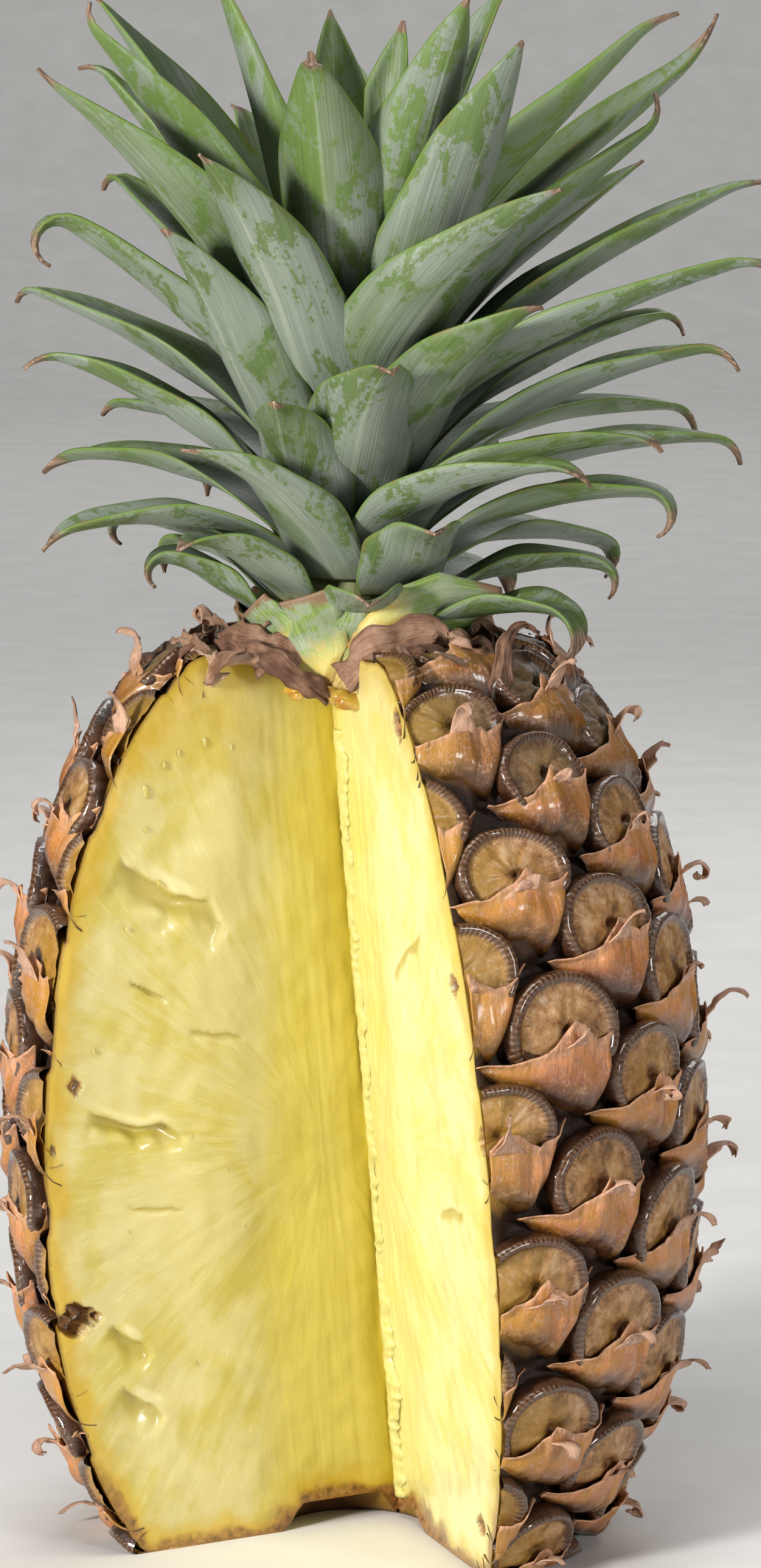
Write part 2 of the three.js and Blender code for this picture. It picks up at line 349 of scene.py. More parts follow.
FRUIT_RADIUS = 62.2
FRUIT_TOP = 167.0
WIDEST_HEIGHT = 78.0
LOWER_REACH = 94.0  # how far below and above the widest height the body's curve would close
UPPER_REACH = 97.0
BODY_POWER = 2.2
BODY_ROOT = 2.5
BASE_RING = 33.0  # the flat base's radius
BASE_FILLET = 6.0
SCAR_RADIUS = 13.0  # the stalk's scar in the base
SCAR_SLOPE = 3.0
SCAR_DEPTH = 5.0
SHOULDER = 165.0
SHOULDER_EDGE = (27.5, 166.4)
NECK_RADIUS = 21.0
OVERHANG_RADIUS = 17.0  # inside this, above CUT_TOP, the crown's foot stays whole over the cut
CUT_TOP = 163.5
BASE_SPACING = 2.4
LID_SPACING = 3.0
FILLET_STEPS = 24
BODY_STEPS = 300


def body_radius(z):
    """The body's radius at a height, between the base's fillet and the shoulder."""
    z = np.asarray(z, float)
    share = np.where(z < WIDEST_HEIGHT, (WIDEST_HEIGHT - z) / LOWER_REACH, (z - WIDEST_HEIGHT) / UPPER_REACH)
    return FRUIT_RADIUS * (1 - np.clip(share, 0, 1) ** BODY_POWER) ** (1 / BODY_ROOT)


def even(points, spacing):
    """The same line with its points evenly spaced."""
    points = np.asarray(points, float)
    steps = np.hypot(*np.diff(points, axis=0).T)
    at = np.concatenate([[0], np.cumsum(steps)])
    count = max(1, round(at[-1] / spacing))
    wanted = np.linspace(0, at[-1], count + 1)
    return np.stack([np.interp(wanted, at, points[:, k]) for k in range(2)], 1)


def fruit_outline(spacing):
    """The fruit's outline as [radius, height], from the middle of the base to the middle of the top, and how
    many of its points are on the skin."""
    base = [(0, SCAR_DEPTH), (SCAR_RADIUS - SCAR_SLOPE, SCAR_DEPTH), (SCAR_RADIUS, 0), (BASE_RING, 0)]
    fillet_width = float(body_radius(BASE_FILLET)) - BASE_RING
    quarter = np.linspace(0, math.pi / 2, FILLET_STEPS)
    fillet = np.stack([BASE_RING + fillet_width * np.sin(quarter), BASE_FILLET * (1 - np.cos(quarter))], 1)
    height = np.linspace(BASE_FILLET, SHOULDER, BODY_STEPS)
    body = np.stack([body_radius(height), height], 1)
    top = [SHOULDER_EDGE, (NECK_RADIUS, FRUIT_TOP)]
    skin = even(np.concatenate([fillet, body[1:], top]), spacing)
    lid = even([(NECK_RADIUS, FRUIT_TOP), (0, FRUIT_TOP)], LID_SPACING)
    return np.concatenate([even(base, BASE_SPACING)[:-1], skin, lid[1:]]), len(skin)


FINE_SPACING = 0.25
FINE_OUTLINE, FINE_COUNT = fruit_outline(FINE_SPACING)
SKIN_START = int(np.argmax(FINE_OUTLINE[:, 0] >= BASE_RING - 1e-9))
OUTLINE_AT = np.concatenate([[0], np.cumsum(np.hypot(*np.diff(FINE_OUTLINE, axis=0).T))])
OUTLINE_AT -= OUTLINE_AT[SKIN_START]
SKIN_LENGTH = OUTLINE_AT[SKIN_START + FINE_COUNT - 1]
OUTLINE_WAY = np.gradient(FINE_OUTLINE, OUTLINE_AT, axis=0)
OUTLINE_WAY /= np.hypot(*OUTLINE_WAY.T)[:, None]
SMOOTHING = 25  # points over which the skin's direction is averaged
KERNEL = np.ones(SMOOTHING) / SMOOTHING
OUTLINE_WAY = np.stack([
    np.convolve(np.pad(OUTLINE_WAY[:, k], SMOOTHING // 2, "edge"), KERNEL, "valid") for k in range(2)
], 1)


def skin_point(azimuth, along, stand):
    """A point over the skin, about the fruit's axis."""
    radius = np.interp(along, OUTLINE_AT, FINE_OUTLINE[:, 0])
    height = np.interp(along, OUTLINE_AT, FINE_OUTLINE[:, 1])
    way = np.stack([np.interp(along, OUTLINE_AT, OUTLINE_WAY[:, k]) for k in range(2)], -1)
    way /= np.linalg.norm(way, axis=-1)[..., None]
    radius = radius + way[..., 1] * stand
    height = height - way[..., 0] * stand
    return np.stack([radius * np.cos(azimuth), radius * np.sin(azimuth), height], -1)


def skin_radius(along):
    """How far the skin is from the axis."""
    return np.interp(along, OUTLINE_AT, FINE_OUTLINE[:, 0])


# ---- The eyes' places ----

EYE_TURN = math.radians(137.46)  # from one eye to the next, round the fruit and along it
EYE_RISE = 1.325
KNOWN_AZIMUTH = math.radians(300.2)  # of one eye's disc, from which the rest are counted
KNOWN_ALONG = 143.6
LOWEST_EYE = 1.0
HIGHEST_EYE = SKIN_LENGTH - 7.0
CELL_SIDE = -1.0  # a cell's middle from its disc's middle: round the fruit, and along it
CELL_DROP = -2.5
FULL_SIZE_RADIUS = 60.0  # where the body is narrower than this, the eyes are smaller
SMALLEST_SHARE = 0.5
SIZE_SPREAD = (0.95, 1.05)
TILT_SPREAD = 0.09
EYE_SEED = 11
LOWEST_ALONG = -2.0  # nothing of an eye reaches farther in under the base than this

rng = np.random.default_rng(EYE_SEED)
down = int((KNOWN_ALONG - LOWEST_EYE) / EYE_RISE)
up = int((HIGHEST_EYE - KNOWN_ALONG) / EYE_RISE)
steps = np.arange(-down, up + 1)
EYE_AZIMUTH = wrapped(KNOWN_AZIMUTH - EYE_TURN * steps)
EYE_ALONG = KNOWN_ALONG + EYE_RISE * steps
EYES = len(steps)
EYE_SIZE = np.sqrt(np.clip(skin_radius(EYE_ALONG) / FULL_SIZE_RADIUS, SMALLEST_SHARE, 1.0))
EYE_SIZE *= rng.uniform(*SIZE_SPREAD, EYES)
EYE_TONE = rng.uniform(0, 1, EYES)
EYE_TILT = rng.normal(0, TILT_SPREAD, EYES)
CELL_AZIMUTH = EYE_AZIMUTH + CELL_SIDE * EYE_SIZE / skin_radius(EYE_ALONG)
CELL_ALONG = EYE_ALONG + CELL_DROP * EYE_SIZE

# ---- The wedge ----

SEAM_TOP = np.array([-3.6, -2.0, 150.0])  # two points of the line where the two cuts meet
SEAM_BOTTOM = np.array([7.5, 10.0, 10.0])
LEFT_AZIMUTH = math.radians(211)  # the way each cut face runs out from the seam
RIGHT_AZIMUTH = math.radians(289)
CUT_BAND = 6.0  # faces this near a cut's plane are divided by it
BEHIND_SEAM = -2.0  # and it divides this far past the seam
FAR_FROM_CUTS = 30.0
SEAM_WAY = (SEAM_TOP - SEAM_BOTTOM) / (SEAM_TOP[2] - SEAM_BOTTOM[2])


def seam(height):
    """The seam's points at these heights."""
    return SEAM_BOTTOM + (np.asarray(height, float)[..., None] - SEAM_BOTTOM[2]) * SEAM_WAY


def outwards(azimuth):
    """The level direction away from the axis."""
    return np.array([math.cos(azimuth), math.sin(azimuth), 0.0])


def cut_normal(azimuth):
    """The cut face's own direction, out into the wedge."""
    across = np.cross(outwards(azimuth), SEAM_WAY)
    side = 1 if azimuth == RIGHT_AZIMUTH else -1
    return side * across / np.linalg.norm(across)


def on_cut(azimuth, out, up_, lift):
    """A place on a cut face: how far out from the seam, how high, and how far off the face."""
    out, up_ = np.asarray(out, float), np.asarray(up_, float)
    lift = np.asarray(lift, float) * np.ones_like(out)
    return seam(up_) + out[..., None] * outwards(azimuth) + lift[..., None] * cut_normal(azimuth)


def off_cut(azimuth, points):
    """How far points lie off a cut face on the wedge's side, and how far out from the seam."""
    from_seam = points - seam(points[:, 2])
    return from_seam @ cut_normal(azimuth), from_seam @ outwards(azimuth)


def in_wedge(points):
    """Which points lie between the two cut faces."""
    left, _ = off_cut(LEFT_AZIMUTH, points)
    right, _ = off_cut(RIGHT_AZIMUTH, points)
    return (left > 0) & (right > 0)


def from_cuts(points):
    """How far points lie from the nearer cut face."""
    near = np.full(len(points), FAR_FROM_CUTS)
    for azimuth in (LEFT_AZIMUTH, RIGHT_AZIMUTH):
        off, out = off_cut(azimuth, points)
        near = np.where(out > 0, np.minimum(near, np.abs(off)), near)
    return near


def cut_away(made, keep_neck):
    """Takes the wedge out of a piece: a cut along each face, then what lies between them goes."""
    for azimuth in (LEFT_AZIMUTH, RIGHT_AZIMUTH):
        middles = unplace(face_middles(made))
        off, out = off_cut(azimuth, middles)
        mark(made, faces=(np.abs(off) < CUT_BAND) & (out > BEHIND_SEAM))
        with editing(made):
            bpy.ops.mesh.bisect(plane_co=place(SEAM_BOTTOM), plane_no=cut_normal(azimuth), threshold=1e-5)
    middles = unplace(face_middles(made))
    gone = in_wedge(middles)
    if keep_neck:
        gone &= (np.hypot(middles[:, 0], middles[:, 1]) > OVERHANG_RADIUS) | (middles[:, 2] < CUT_TOP)
    mark(made, faces=gone)
    with editing(made):
        bpy.ops.mesh.delete(type="FACE")


# ---- The rind ----

RIND_SPACING = 0.95
RIND_COLUMNS = 400
DISC_WIDE = 11.7  # a disc's half width and half height
DISC_HIGH = 9.3
GROOVE_FLOOR = -2.0
UNDER_DISC = 1.2  # how far the rind stands out under a disc
PILLOW_RISE = 3.0  # how far it rises from the groove under a scale, and over what distance
PILLOW_REACH = 8.0
WALL_RISE = 4.6  # the groove's wall, which no part of the rind stands over
WALL_REACH = 1.6
CORNER_DROP = 1.2  # where three eyes meet the groove is deeper
CORNER_REACH = 1.8
CALM_REACH = 4.5  # the rind is smoother this close to the cuts
CALM_SHARE = 0.8
CALM_HEIGHT = 1.7
DISC_EDGE = (0.88, 1.04)  # between these shares of a disc's size the rind drops into the groove
SCALE_LINE = (-8.5, -5.5)  # between these, along the skin, the scale's rise gives way to the disc's
PILLOW_POWER = 0.9
RIND_LUMPS = 0.15
GROOVE_HEIGHTS = (-1.5, 1.0)  # up to the first the rind takes the painted shade of the groove, from the second its own colour
BASE_FADE = (-1.5, 5.0)  # over these distances from the skin's two ends the relief dies away
TOP_FADE = (9.0, 2.0)
MIDDLE_HEIGHT = 80.0  # the rind's points are told apart by their angle about this height
SEARCH_PARTS = 6  # the nearest eyes are looked for in so many batches


def nearest_eyes(azimuth, along):
    """For places on the skin: the nearest eye's size, how far the groove is, how far the corner is, and where
    the place is from the eye's disc, round the fruit and along it."""
    radius = skin_radius(along)
    side = radius[:, None] * wrapped(azimuth[:, None] - CELL_AZIMUTH[None])
    rise = along[:, None] - CELL_ALONG[None]
    distance = np.hypot(side, rise)
    order = np.argpartition(distance, 2, axis=1)[:, :3]
    rows = np.arange(len(along))[:, None]
    order = order[rows, np.argsort(distance[rows, order], axis=1)]
    near = distance[rows, order]
    first, second = order[:, 0], order[:, 1]
    row = rows[:, 0]
    apart = np.hypot(side[row, first] - side[row, second], rise[row, first] - rise[row, second])
    border = (near[:, 1] ** 2 - near[:, 0] ** 2) / (2 * np.maximum(apart, 1))
    corner = near[:, 2] - near[:, 0]
    size = EYE_SIZE[first]
    across = side[row, first] + CELL_SIDE * size
    upward = rise[row, first] + CELL_DROP * size
    return size, border, corner, across, upward


def eye_relief(azimuth, along):
    """How far the rind stands out under the discs and scales."""
    size, border, corner, across, upward = nearest_eyes(azimuth, along)
    ring = np.hypot(across / (DISC_WIDE * size), upward / (DISC_HIGH * size))
    disc = mix(UNDER_DISC, GROOVE_FLOOR, ease(ring, *DISC_EDGE))
    swell = 1 - (1 - np.clip(border / PILLOW_REACH, 0, 1)) ** 2
    pillow = GROOVE_FLOOR + PILLOW_RISE * swell**PILLOW_POWER
    stand = mix(pillow, disc, ease(upward, SCALE_LINE[0] * size, SCALE_LINE[1] * size))
    wall = GROOVE_FLOOR + WALL_RISE * np.sqrt(np.clip(border / WALL_REACH, 0, 1))
    stand = np.minimum(stand, wall) - CORNER_DROP * hill(corner, 0, CORNER_REACH)
    return stand + RIND_LUMPS * rumple(azimuth / TAU * TABLE * 5, along * 0.8, 5)


def rind_fade(along):
    """The eyes' relief dies away in the base and under the crown."""
    return ease(along, *BASE_FADE) * (1 - ease(along, SKIN_LENGTH - TOP_FADE[0], SKIN_LENGTH - TOP_FADE[1]))


def spin_outline(name, outline, columns, about=(0.0, 0.0, 0.0)):
    """An outline of [radius, height] turned about an upright axis into a closed skin."""
    mesh = bpy.data.meshes.new(name)
    made = bpy.data.objects.new(name, mesh)
    bpy.context.scene.collection.objects.link(made)
    flat = np.stack([outline[:, 0], np.zeros(len(outline)), outline[:, 1]], 1)
    links = [(i, i + 1) for i in range(len(outline) - 1)]
    mesh.from_pydata(((flat + about) * MM).tolist(), links, [])
    middle = Vector(about) * MM
    with editing(made, "VERT"):
        bpy.ops.mesh.select_all(action="SELECT")
        bpy.ops.mesh.spin(steps=columns, angle=TAU, center=middle, axis=(0, 0, 1))
        bpy.ops.mesh.select_all(action="SELECT")
        bpy.ops.mesh.remove_doubles(threshold=0.005 * MM)
        bpy.ops.mesh.normals_make_consistent(inside=False)
    return made


def make_rind(material):
    """The whole skin with its grooves, spun from the outline, with the wedge taken out."""
    outline, _ = fruit_outline(RIND_SPACING)
    rind = spin_outline("fruit_rind", outline, RIND_COLUMNS, AXIS)
    points = unplace(points_of(rind))
    azimuth = np.arctan2(points[:, 1], points[:, 0])
    turn = np.arctan2(points[:, 2] - MIDDLE_HEIGHT, np.hypot(points[:, 0], points[:, 1]))
    fine_turn = np.arctan2(FINE_OUTLINE[:, 1] - MIDDLE_HEIGHT, FINE_OUTLINE[:, 0])
    along = np.interp(turn, fine_turn, OUTLINE_AT)
    near_cut = from_cuts(points)
    stand = np.zeros(len(points))
    groove = np.zeros(len(points))
    live = along > LOWEST_ALONG
    for part in np.array_split(np.flatnonzero(live), SEARCH_PARTS):
        rise = eye_relief(azimuth[part], along[part])
        calm = CALM_SHARE * (1 - ease(near_cut[part], 0.5, CALM_REACH))
        stand[part] = mix(rise, CALM_HEIGHT, calm) * rind_fade(along[part])
        # how deep in a groove each point lies, which the finish paints as shade
        groove[part] = (1 - ease(rise, *GROOVE_HEIGHTS)) * rind_fade(along[part])
    stood = skin_point(azimuth, along, stand)
    moved = np.where(live[:, None], stood, points)
    moved[:, 2] = np.maximum(moved[:, 2], np.where(live, 0.0, points[:, 2]))
    move_points(rind, place(moved))
    write(rind, groove=groove, along=along)
    cut_away(rind, keep_neck=True)
    write(rind, from_cut=from_cuts(unplace(points_of(rind))))
    return finish_piece(rind, [material], "fruit", "fruit")


# ---- The discs: the flat, wrinkled face of each eye inside its ridge of beads ----

DISC_COLUMNS = 76
BEADS = 58.0  # round a disc's ridge
DISC_TOP = 1.5  # what is lower than this in the outline, away from the middle, is the disc's outer wall
WALL_RING = 1.1  # what the wall's points say of how far out they are
DISC_LUMPS = 0.35
DISC_CREASES = 0.3
DISC_BEAD = 0.05
DISC_LEAST = 0.4  # how much of its height a disc keeps where the rind's relief has died away
DISC_OVALS = (0.035, 0.025)  # how far a disc's outline is from round, in two and in three waves
DISC_FRAY = 0.006
LOWER_SINK = 1.6  # the disc's lower part dips under the scale
NARROWEST = 16.0  # the skin counts as no narrower than this when an eye is laid on it
LAID_END = SKIN_LENGTH - 6.0  # and all of it above this counts as this place
EYE_REACH = 16.0  # no part of an eye is farther than this from its middle
LOWER_DISCS = 85.0  # the discs are two pieces, parted here
DISC_SEED = 3000  # each eye's own dice start from these
SCALE_SEED = 1000
TIP_SEED = 2000
DISC_OUTLINE = np.array([  # how far out from the disc's middle, as a share, and how high in millimetres
    (0.0, 1.4), (0.07, 1.8), (0.15, 2.4), (0.32, 2.5), (0.52, 2.45), (0.70, 2.25), (0.76, 2.1), (0.82, 2.7),
    (0.89, 3.2), (0.96, 3.1), (1.01, 2.2), (1.03, 1.0), (1.01, -0.6), (0.97, -1.9),
])


def laid_radius(along):
    """The skin's radius for laying an eye on it, within reason at both ends."""
    return np.maximum(skin_radius(np.clip(along, 0, LAID_END)), NARROWEST)


def place_disc(disc, turn, ring, rise, eye):
    """Bends a copy of the disc onto the skin at its eye, creased and lumpy in its own way."""
    dice = np.random.default_rng(DISC_SEED + eye)
    size = EYE_SIZE[eye]
    column = np.round(turn / TAU * DISC_COLUMNS).astype(int) % DISC_COLUMNS
    alternate = 1.0 - 2.0 * (column % 2)
    strength = dice.uniform(0.35, 1.0, DISC_COLUMNS)[column]
    waves = dice.uniform(0, TAU, 3)
    round_ = 1 + DISC_OVALS[0] * np.sin(2 * turn + waves[0]) + DISC_OVALS[1] * np.sin(3 * turn + waves[1])
    round_ = round_ + dice.normal(0, DISC_FRAY, DISC_COLUMNS)[column] * ease(ring, 0.6, 0.9)
    across = np.cos(turn) * ring * DISC_WIDE * round_ * size
    upward = np.sin(turn) * ring * DISC_HIGH * round_ * size
    bead = alternate * strength
    on_top = rise > DISC_TOP
    stand = rise + DISC_BEAD * bead * ease(ring, 0.75, 0.95) * on_top
    stand = stand + DISC_BEAD * bead * ease(ring, 0.45, 0.7) * (1 - ease(ring, 0.72, 0.8))
    lumps = rumple(across * 0.3 + eye * 5, upward * 0.3, 15)
    stand = stand + DISC_LUMPS * lumps * (1 - ease(ring, 0.6, 0.8)) * on_top
    creases = rumple(turn / TAU * TABLE * 0.45 + eye * 7, ring * 3.0, 8)
    stand = stand + DISC_CREASES * creases * ease(ring, 0.1, 0.4) * (1 - 0.6 * ease(ring, 0.8, 0.9)) * on_top
    stand = stand + across * dice.normal(0, 0.035) + upward * (0.02 + dice.normal(0, 0.03))
    stand = stand - LOWER_SINK * (1 - ease(upward, -7.0 * size, -2.5 * size)) * on_top
    tilt = EYE_TILT[eye]
    across, upward = across - tilt * upward, upward + tilt * across
    at_along = EYE_ALONG[eye] + upward
    azimuth = EYE_AZIMUTH[eye] + across / laid_radius(at_along)
    stand = stand * mix(DISC_LEAST, 1.0, rind_fade(at_along))
    points = skin_point(azimuth, np.maximum(at_along, LOWEST_ALONG), stand)
    points[:, 2] = np.maximum(points[:, 2], 0.05)
    move_points(disc, place(points))
    wall = (rise < DISC_TOP) & (ring > 0.5)
    write(disc, ring=np.where(wall, WALL_RING, ring), across=across, upward=upward)
    write(disc, tone=EYE_TONE[eye], along=EYE_ALONG[eye])


def copy_of(made, name):
    """A copy with its own mesh."""
    copy = made.copy()
    copy.data = made.data.copy()
    copy.name = name
    bpy.context.scene.collection.objects.link(copy)
    return copy


def eyes_left():
    """The eyes that the wedge hasn't wholly taken."""
    middle = skin_point(EYE_AZIMUTH, EYE_ALONG, 0.0)
    left, _ = off_cut(LEFT_AZIMUTH, middle)
    right, _ = off_cut(RIGHT_AZIMUTH, middle)
    return np.flatnonzero((left < EYE_REACH) | (right < EYE_REACH))


def make_discs(material):
    """One disc pattern, copied onto every eye."""
    pattern = spin_outline("disc_pattern", DISC_OUTLINE, DISC_COLUMNS)
    flat = points_of(pattern) / MM
    turn, ring, rise = np.arctan2(flat[:, 1], flat[:, 0]), np.hypot(flat[:, 0], flat[:, 1]), flat[:, 2]
    present = eyes_left()
    low = EYE_ALONG[present] < LOWER_DISCS
    for name, eyes in (("lower", present[low]), ("upper", present[~low])):
        discs = []
        for eye in eyes:
            discs.append(copy_of(pattern, f"disc_{eye}"))
            place_disc(discs[-1], turn, ring, rise, eye)
        group = join(f"eye_discs_{name}", discs)
        cut_away(group, keep_neck=False)
        write(group, from_cut=from_cuts(unplace(points_of(group))))
        finish_piece(group, [material], "fruit")
    bpy.data.objects.remove(pattern)


# ---- The bracts: the fleshy scale over the lower half of each eye, with its dried tip ----

BRACT_COLUMNS = 22
BRACT_ROWS = 13
TIP_COLUMNS = 6
TIP_ROWS = 18
BRACT_THICKNESS = 0.22
BRACT_ROOT = -1.7  # how far the scale stands out: at its lower margin, on its body and at its wings
BRACT_STAND = 3.5
WING_STAND = 2.7
SWELL_REACH = 7.5
TIP_STAND = 4.1
TIP_STEPS = 40
TIP_LENGTHS = (5.0, 10.5)  # a tip's own numbers lie between pairs: its length and its half width at the foot,
TIP_FEET = (2.2, 3.6)
TIP_LIFTS = (0.0, 50.0)  # in degrees, how it rises from the disc, curls over and twists,
TIP_CURLS = (30.0, 340.0)
TIP_TWISTS = (-140.0, 140.0)
TIP_SWAYS = (-0.5, 0.5)  # and how it leans aside
TIP_GROWTH = (0.85, 1.3)  # tips are this much longer, at the base and under the crown
LEFT_REACH = (0.88, 1.05)  # how wide a scale is on each side, and how deep it is, as shares of the pattern
RIGHT_REACH = (0.93, 1.04)
FOOT_REACH = (0.95, 1.04)
SCALE_LEAST = 0.25  # how much of its height a scale keeps where the rind's relief has died away
# Across the scale, from -1 at its left wing to 1 at its right one, then round the fruit and along it from the
# disc's middle: its lower margin, and its upper edge over the disc.
BRACT_FOOT = np.array([
    (-1.0, -17.0, -5.2), (-0.8, -13.4, -7.8), (-0.5, -8.4, -10.6), (-0.15, -2.4, -13.2), (0.2, 2.8, -15.2),
    (0.45, 6.4, -16.6), (0.62, 8.8, -13.4), (0.8, 11.0, -7.6), (1.0, 14.0, 1.6),
])
BRACT_HEAD = np.array([
    (-1.0, -17.0, -5.2), (-0.8, -12.8, -5.0), (-0.5, -7.0, -4.4), (-0.2, -2.2, -2.0), (0.0, 0.4, 0.9),
    (0.2, 2.8, -0.2), (0.45, 6.6, -2.4), (0.8, 11.0, -1.0), (1.0, 14.0, 1.6),
])


def on_skin(eye, side, upward, stand):
    """Points from places about an eye's disc, grown to the eye's own size."""
    size = EYE_SIZE[eye]
    at_along = EYE_ALONG[eye] + upward * size
    stand = stand * mix(SCALE_LEAST, 1.0, rind_fade(np.minimum(at_along, LAID_END)))
    azimuth = EYE_AZIMUTH[eye] + side * size / laid_radius(at_along)
    points = skin_point(azimuth, np.maximum(at_along, LOWEST_ALONG), stand)
    points[:, 2] = np.maximum(points[:, 2], 0.1)
    return points


def bract_line(table, across):
    """Where a margin of the scale is, from its table, at these places across it."""
    return np.interp(across, table[:, 0], table[:, 1]), np.interp(across, table[:, 0], table[:, 2])


def shape_bract(eye, across, along):
    """The fleshy scale, from its lower margin in the groove to its upper edge over the disc."""
    dice = np.random.default_rng(SCALE_SEED + eye)
    foot_side, foot_up = bract_line(BRACT_FOOT, across)
    head_side, head_up = bract_line(BRACT_HEAD, across)
    reach = np.where(across < 0, dice.uniform(*LEFT_REACH), dice.uniform(*RIGHT_REACH))
    foot_side, head_side = foot_side * reach, head_side * reach
    foot_up = foot_up * dice.uniform(*FOOT_REACH)
    foot_up = foot_up + 0.3 * np.sin(across * 8 + eye) + 0.12 * np.sin(across * 21 + eye)
    middle = 1 - ease(np.abs(across), 0.0, 0.45)
    head_up = head_up + middle * dice.uniform(-1.2, 0.8) + 0.22 * np.sin(across * 17 + eye) * (1 - across**8)
    head_side = head_side + middle * dice.uniform(-0.8, 1.0)
    side, upward = mix(foot_side, head_side, along), mix(foot_up, head_up, along)
    depth = np.hypot(foot_side - head_side, foot_up - head_up) * along
    swell = (1 - (1 - np.clip(depth / SWELL_REACH, 0, 1)) ** 2) ** 0.8
    wing = ease(np.abs(across), 0.72, 1.0)
    stand = mix(BRACT_ROOT, mix(BRACT_STAND, WING_STAND, wing), np.maximum(swell, wing * 0.6))
    stand += 0.7 * along * middle + 0.5 * wing * along
    stand -= 0.5 * ease(along, 0.4, 0.8) * (1 - ease(along, 0.8, 1.0)) * (1 - middle)
    pleat = 0.12 * np.sin(across * 9 + eye) + 0.09 * np.sin(across * 30 + 2 * eye)
    body = ease(depth, 0.8, 3.5)
    stand += (pleat + 0.32 * rumple(side * 0.42 + eye, upward * 0.42, 9)) * body
    folds = [(dice.uniform(0.22, 0.5), 1.0), (-dice.uniform(0.15, 0.5), 0.5), (dice.uniform(-0.1, 0.15), 0.4)]
    for where, deep in folds:
        stand -= deep * hill(across, where, 0.05) * body
        stand += 0.45 * deep * hill(across, where + 0.11, 0.05) * body
    return on_skin(eye, side, upward, stand)


def shape_tip(eye, across, along):
    """The scale's dried tip: it leaves the disc's middle, rises and curls over, thin and crumpled."""
    dice = np.random.default_rng(TIP_SEED + eye)
    high = EYE_ALONG[eye] / SKIN_LENGTH
    length = dice.uniform(*TIP_LENGTHS) * mix(*TIP_GROWTH, high**2)
    half_foot = dice.uniform(*TIP_FEET)
    lift = math.radians(dice.uniform(*TIP_LIFTS))
    curl = math.radians(dice.uniform(*TIP_CURLS))
    sway = dice.uniform(*TIP_SWAYS)
    twist = math.radians(dice.uniform(*TIP_TWISTS))
    fine = np.linspace(0, 1, TIP_STEPS + 1)
    pitch = lift + curl * fine**1.8
    path_up = np.concatenate([[0], np.cumsum(np.cos(pitch[:-1]))]) / TIP_STEPS * length
    path_out = np.concatenate([[0], np.cumsum(np.sin(pitch[:-1]))]) / TIP_STEPS * length
    half = half_foot * np.clip(1 - along**0.75, 0.0, 1) ** 0.9 + 0.3
    crumple = 0.9 * rumple(across * 2.0 + eye, along * 6, 12) * ease(along, 0.03, 0.2) * (1 - 0.7 * along)
    cross = across * half
    side = dice.uniform(0.4, 1.6) + cross * np.cos(twist * along) + sway * along * length * 0.7
    upward = -2.8 + dice.uniform(-0.6, 0.6) + np.interp(along, fine, path_up) - 0.4 * across**2
    stand = TIP_STAND + 0.5 * (1 - np.abs(across)) + np.interp(along, fine, path_out)
    stand = stand + cross * np.sin(twist * along) + crumple - 0.5 * (1 - ease(along, 0, 0.2))
    return on_skin(eye, side, upward, stand)


def make_bracts(material):
    """A scale and its dried tip for every eye, as one piece."""
    sheets = []
    for eye in eyes_left():
        for kind, columns, rows in (("scale", BRACT_COLUMNS, BRACT_ROWS), ("tip", TIP_COLUMNS, TIP_ROWS)):
            sheet, across, along = new_sheet(f"{kind}_{eye}", columns, rows)
            shape = shape_bract if kind == "scale" else shape_tip
            move_points(sheet, place(shape(eye, across, along)))
            write(sheet, bract_across=across, bract_up=along if kind == "scale" else 1 + along)
            write(sheet, tone=EYE_TONE[eye], along=EYE_ALONG[eye])
            sheets.append(sheet)
    bracts = join("eye_bracts", sheets)
    cut_away(bracts, keep_neck=False)
    write(bracts, from_cut=from_cuts(unplace(points_of(bracts))))
    thicken(bracts, BRACT_THICKNESS, -1.0)
    return finish_piece(bracts, [material], "fruit")


# ---- The cut faces ----

FLESH_SPACING = 0.5
CAVITIES = {  # from, to, half width, depth and lip, on each face
    LEFT_AZIMUTH: [
        ((47.5, 131.0), (25.5, 116.0), 2.6, 3.4, 0.5),
        ((58.5, 84.5), (38.0, 77.5), 1.7, 3.2, 1.1),
        ((47.5, 108.2), (39.5, 104.0), 0.6, 1.5, 0.3),
        ((58.0, 44.0), (49.5, 37.0), 1.9, 2.4, 0.4),
        ((57.0, 32.0), (48.0, 25.0), 2.1, 2.2, 0.4),
        ((36.0, 98.0), (24.0, 95.5), 0.8, 0.9, 0.2),
        ((52.0, 66.0), (40.0, 64.5), 0.6, 0.7, 0.3),
    ],
    RIGHT_AZIMUTH: [
        ((40.0, 120.0), (22.0, 108.0), 1.2, 1.0, 0.3),
        ((52.0, 70.0), (36.0, 66.0), 1.4, 1.2, 0.4),
    ],
}
PITS = {  # brown seed pits: out, up, half width, half height and depth
    LEFT_AZIMUTH: [(64.6, 46.2, 5.2, 3.6, 4.5), (60.4, 89.8, 1.5, 2.2, 1.0), (66.0, 78.4, 0.8, 1.2, 0.6)],
    RIGHT_AZIMUTH: [
        (57.2, 112.8, 2.6, 2.6, 1.4), (65.2, 85.6, 2.4, 3.0, 1.6), (67.6, 57.4, 2.0, 2.0, 1.2),
        (47.5, 10.0, 2.2, 2.4, 1.0), (36.0, 157.0, 2.6, 3.4, 1.0),
    ],
}
CAVITY_DEPTH = 0.65  # shares of a cavity's stated depth and lip that are cut and raised
CAVITY_LIP = 0.45
RIM_FADE = (0.15, 2.0)  # the relief dies away over these distances from the rind and from the seam
SEAM_FADE = (0.0, 1.2)
CORE_EDGE = (14.0, 22.0)  # where the core gives way to the flesh
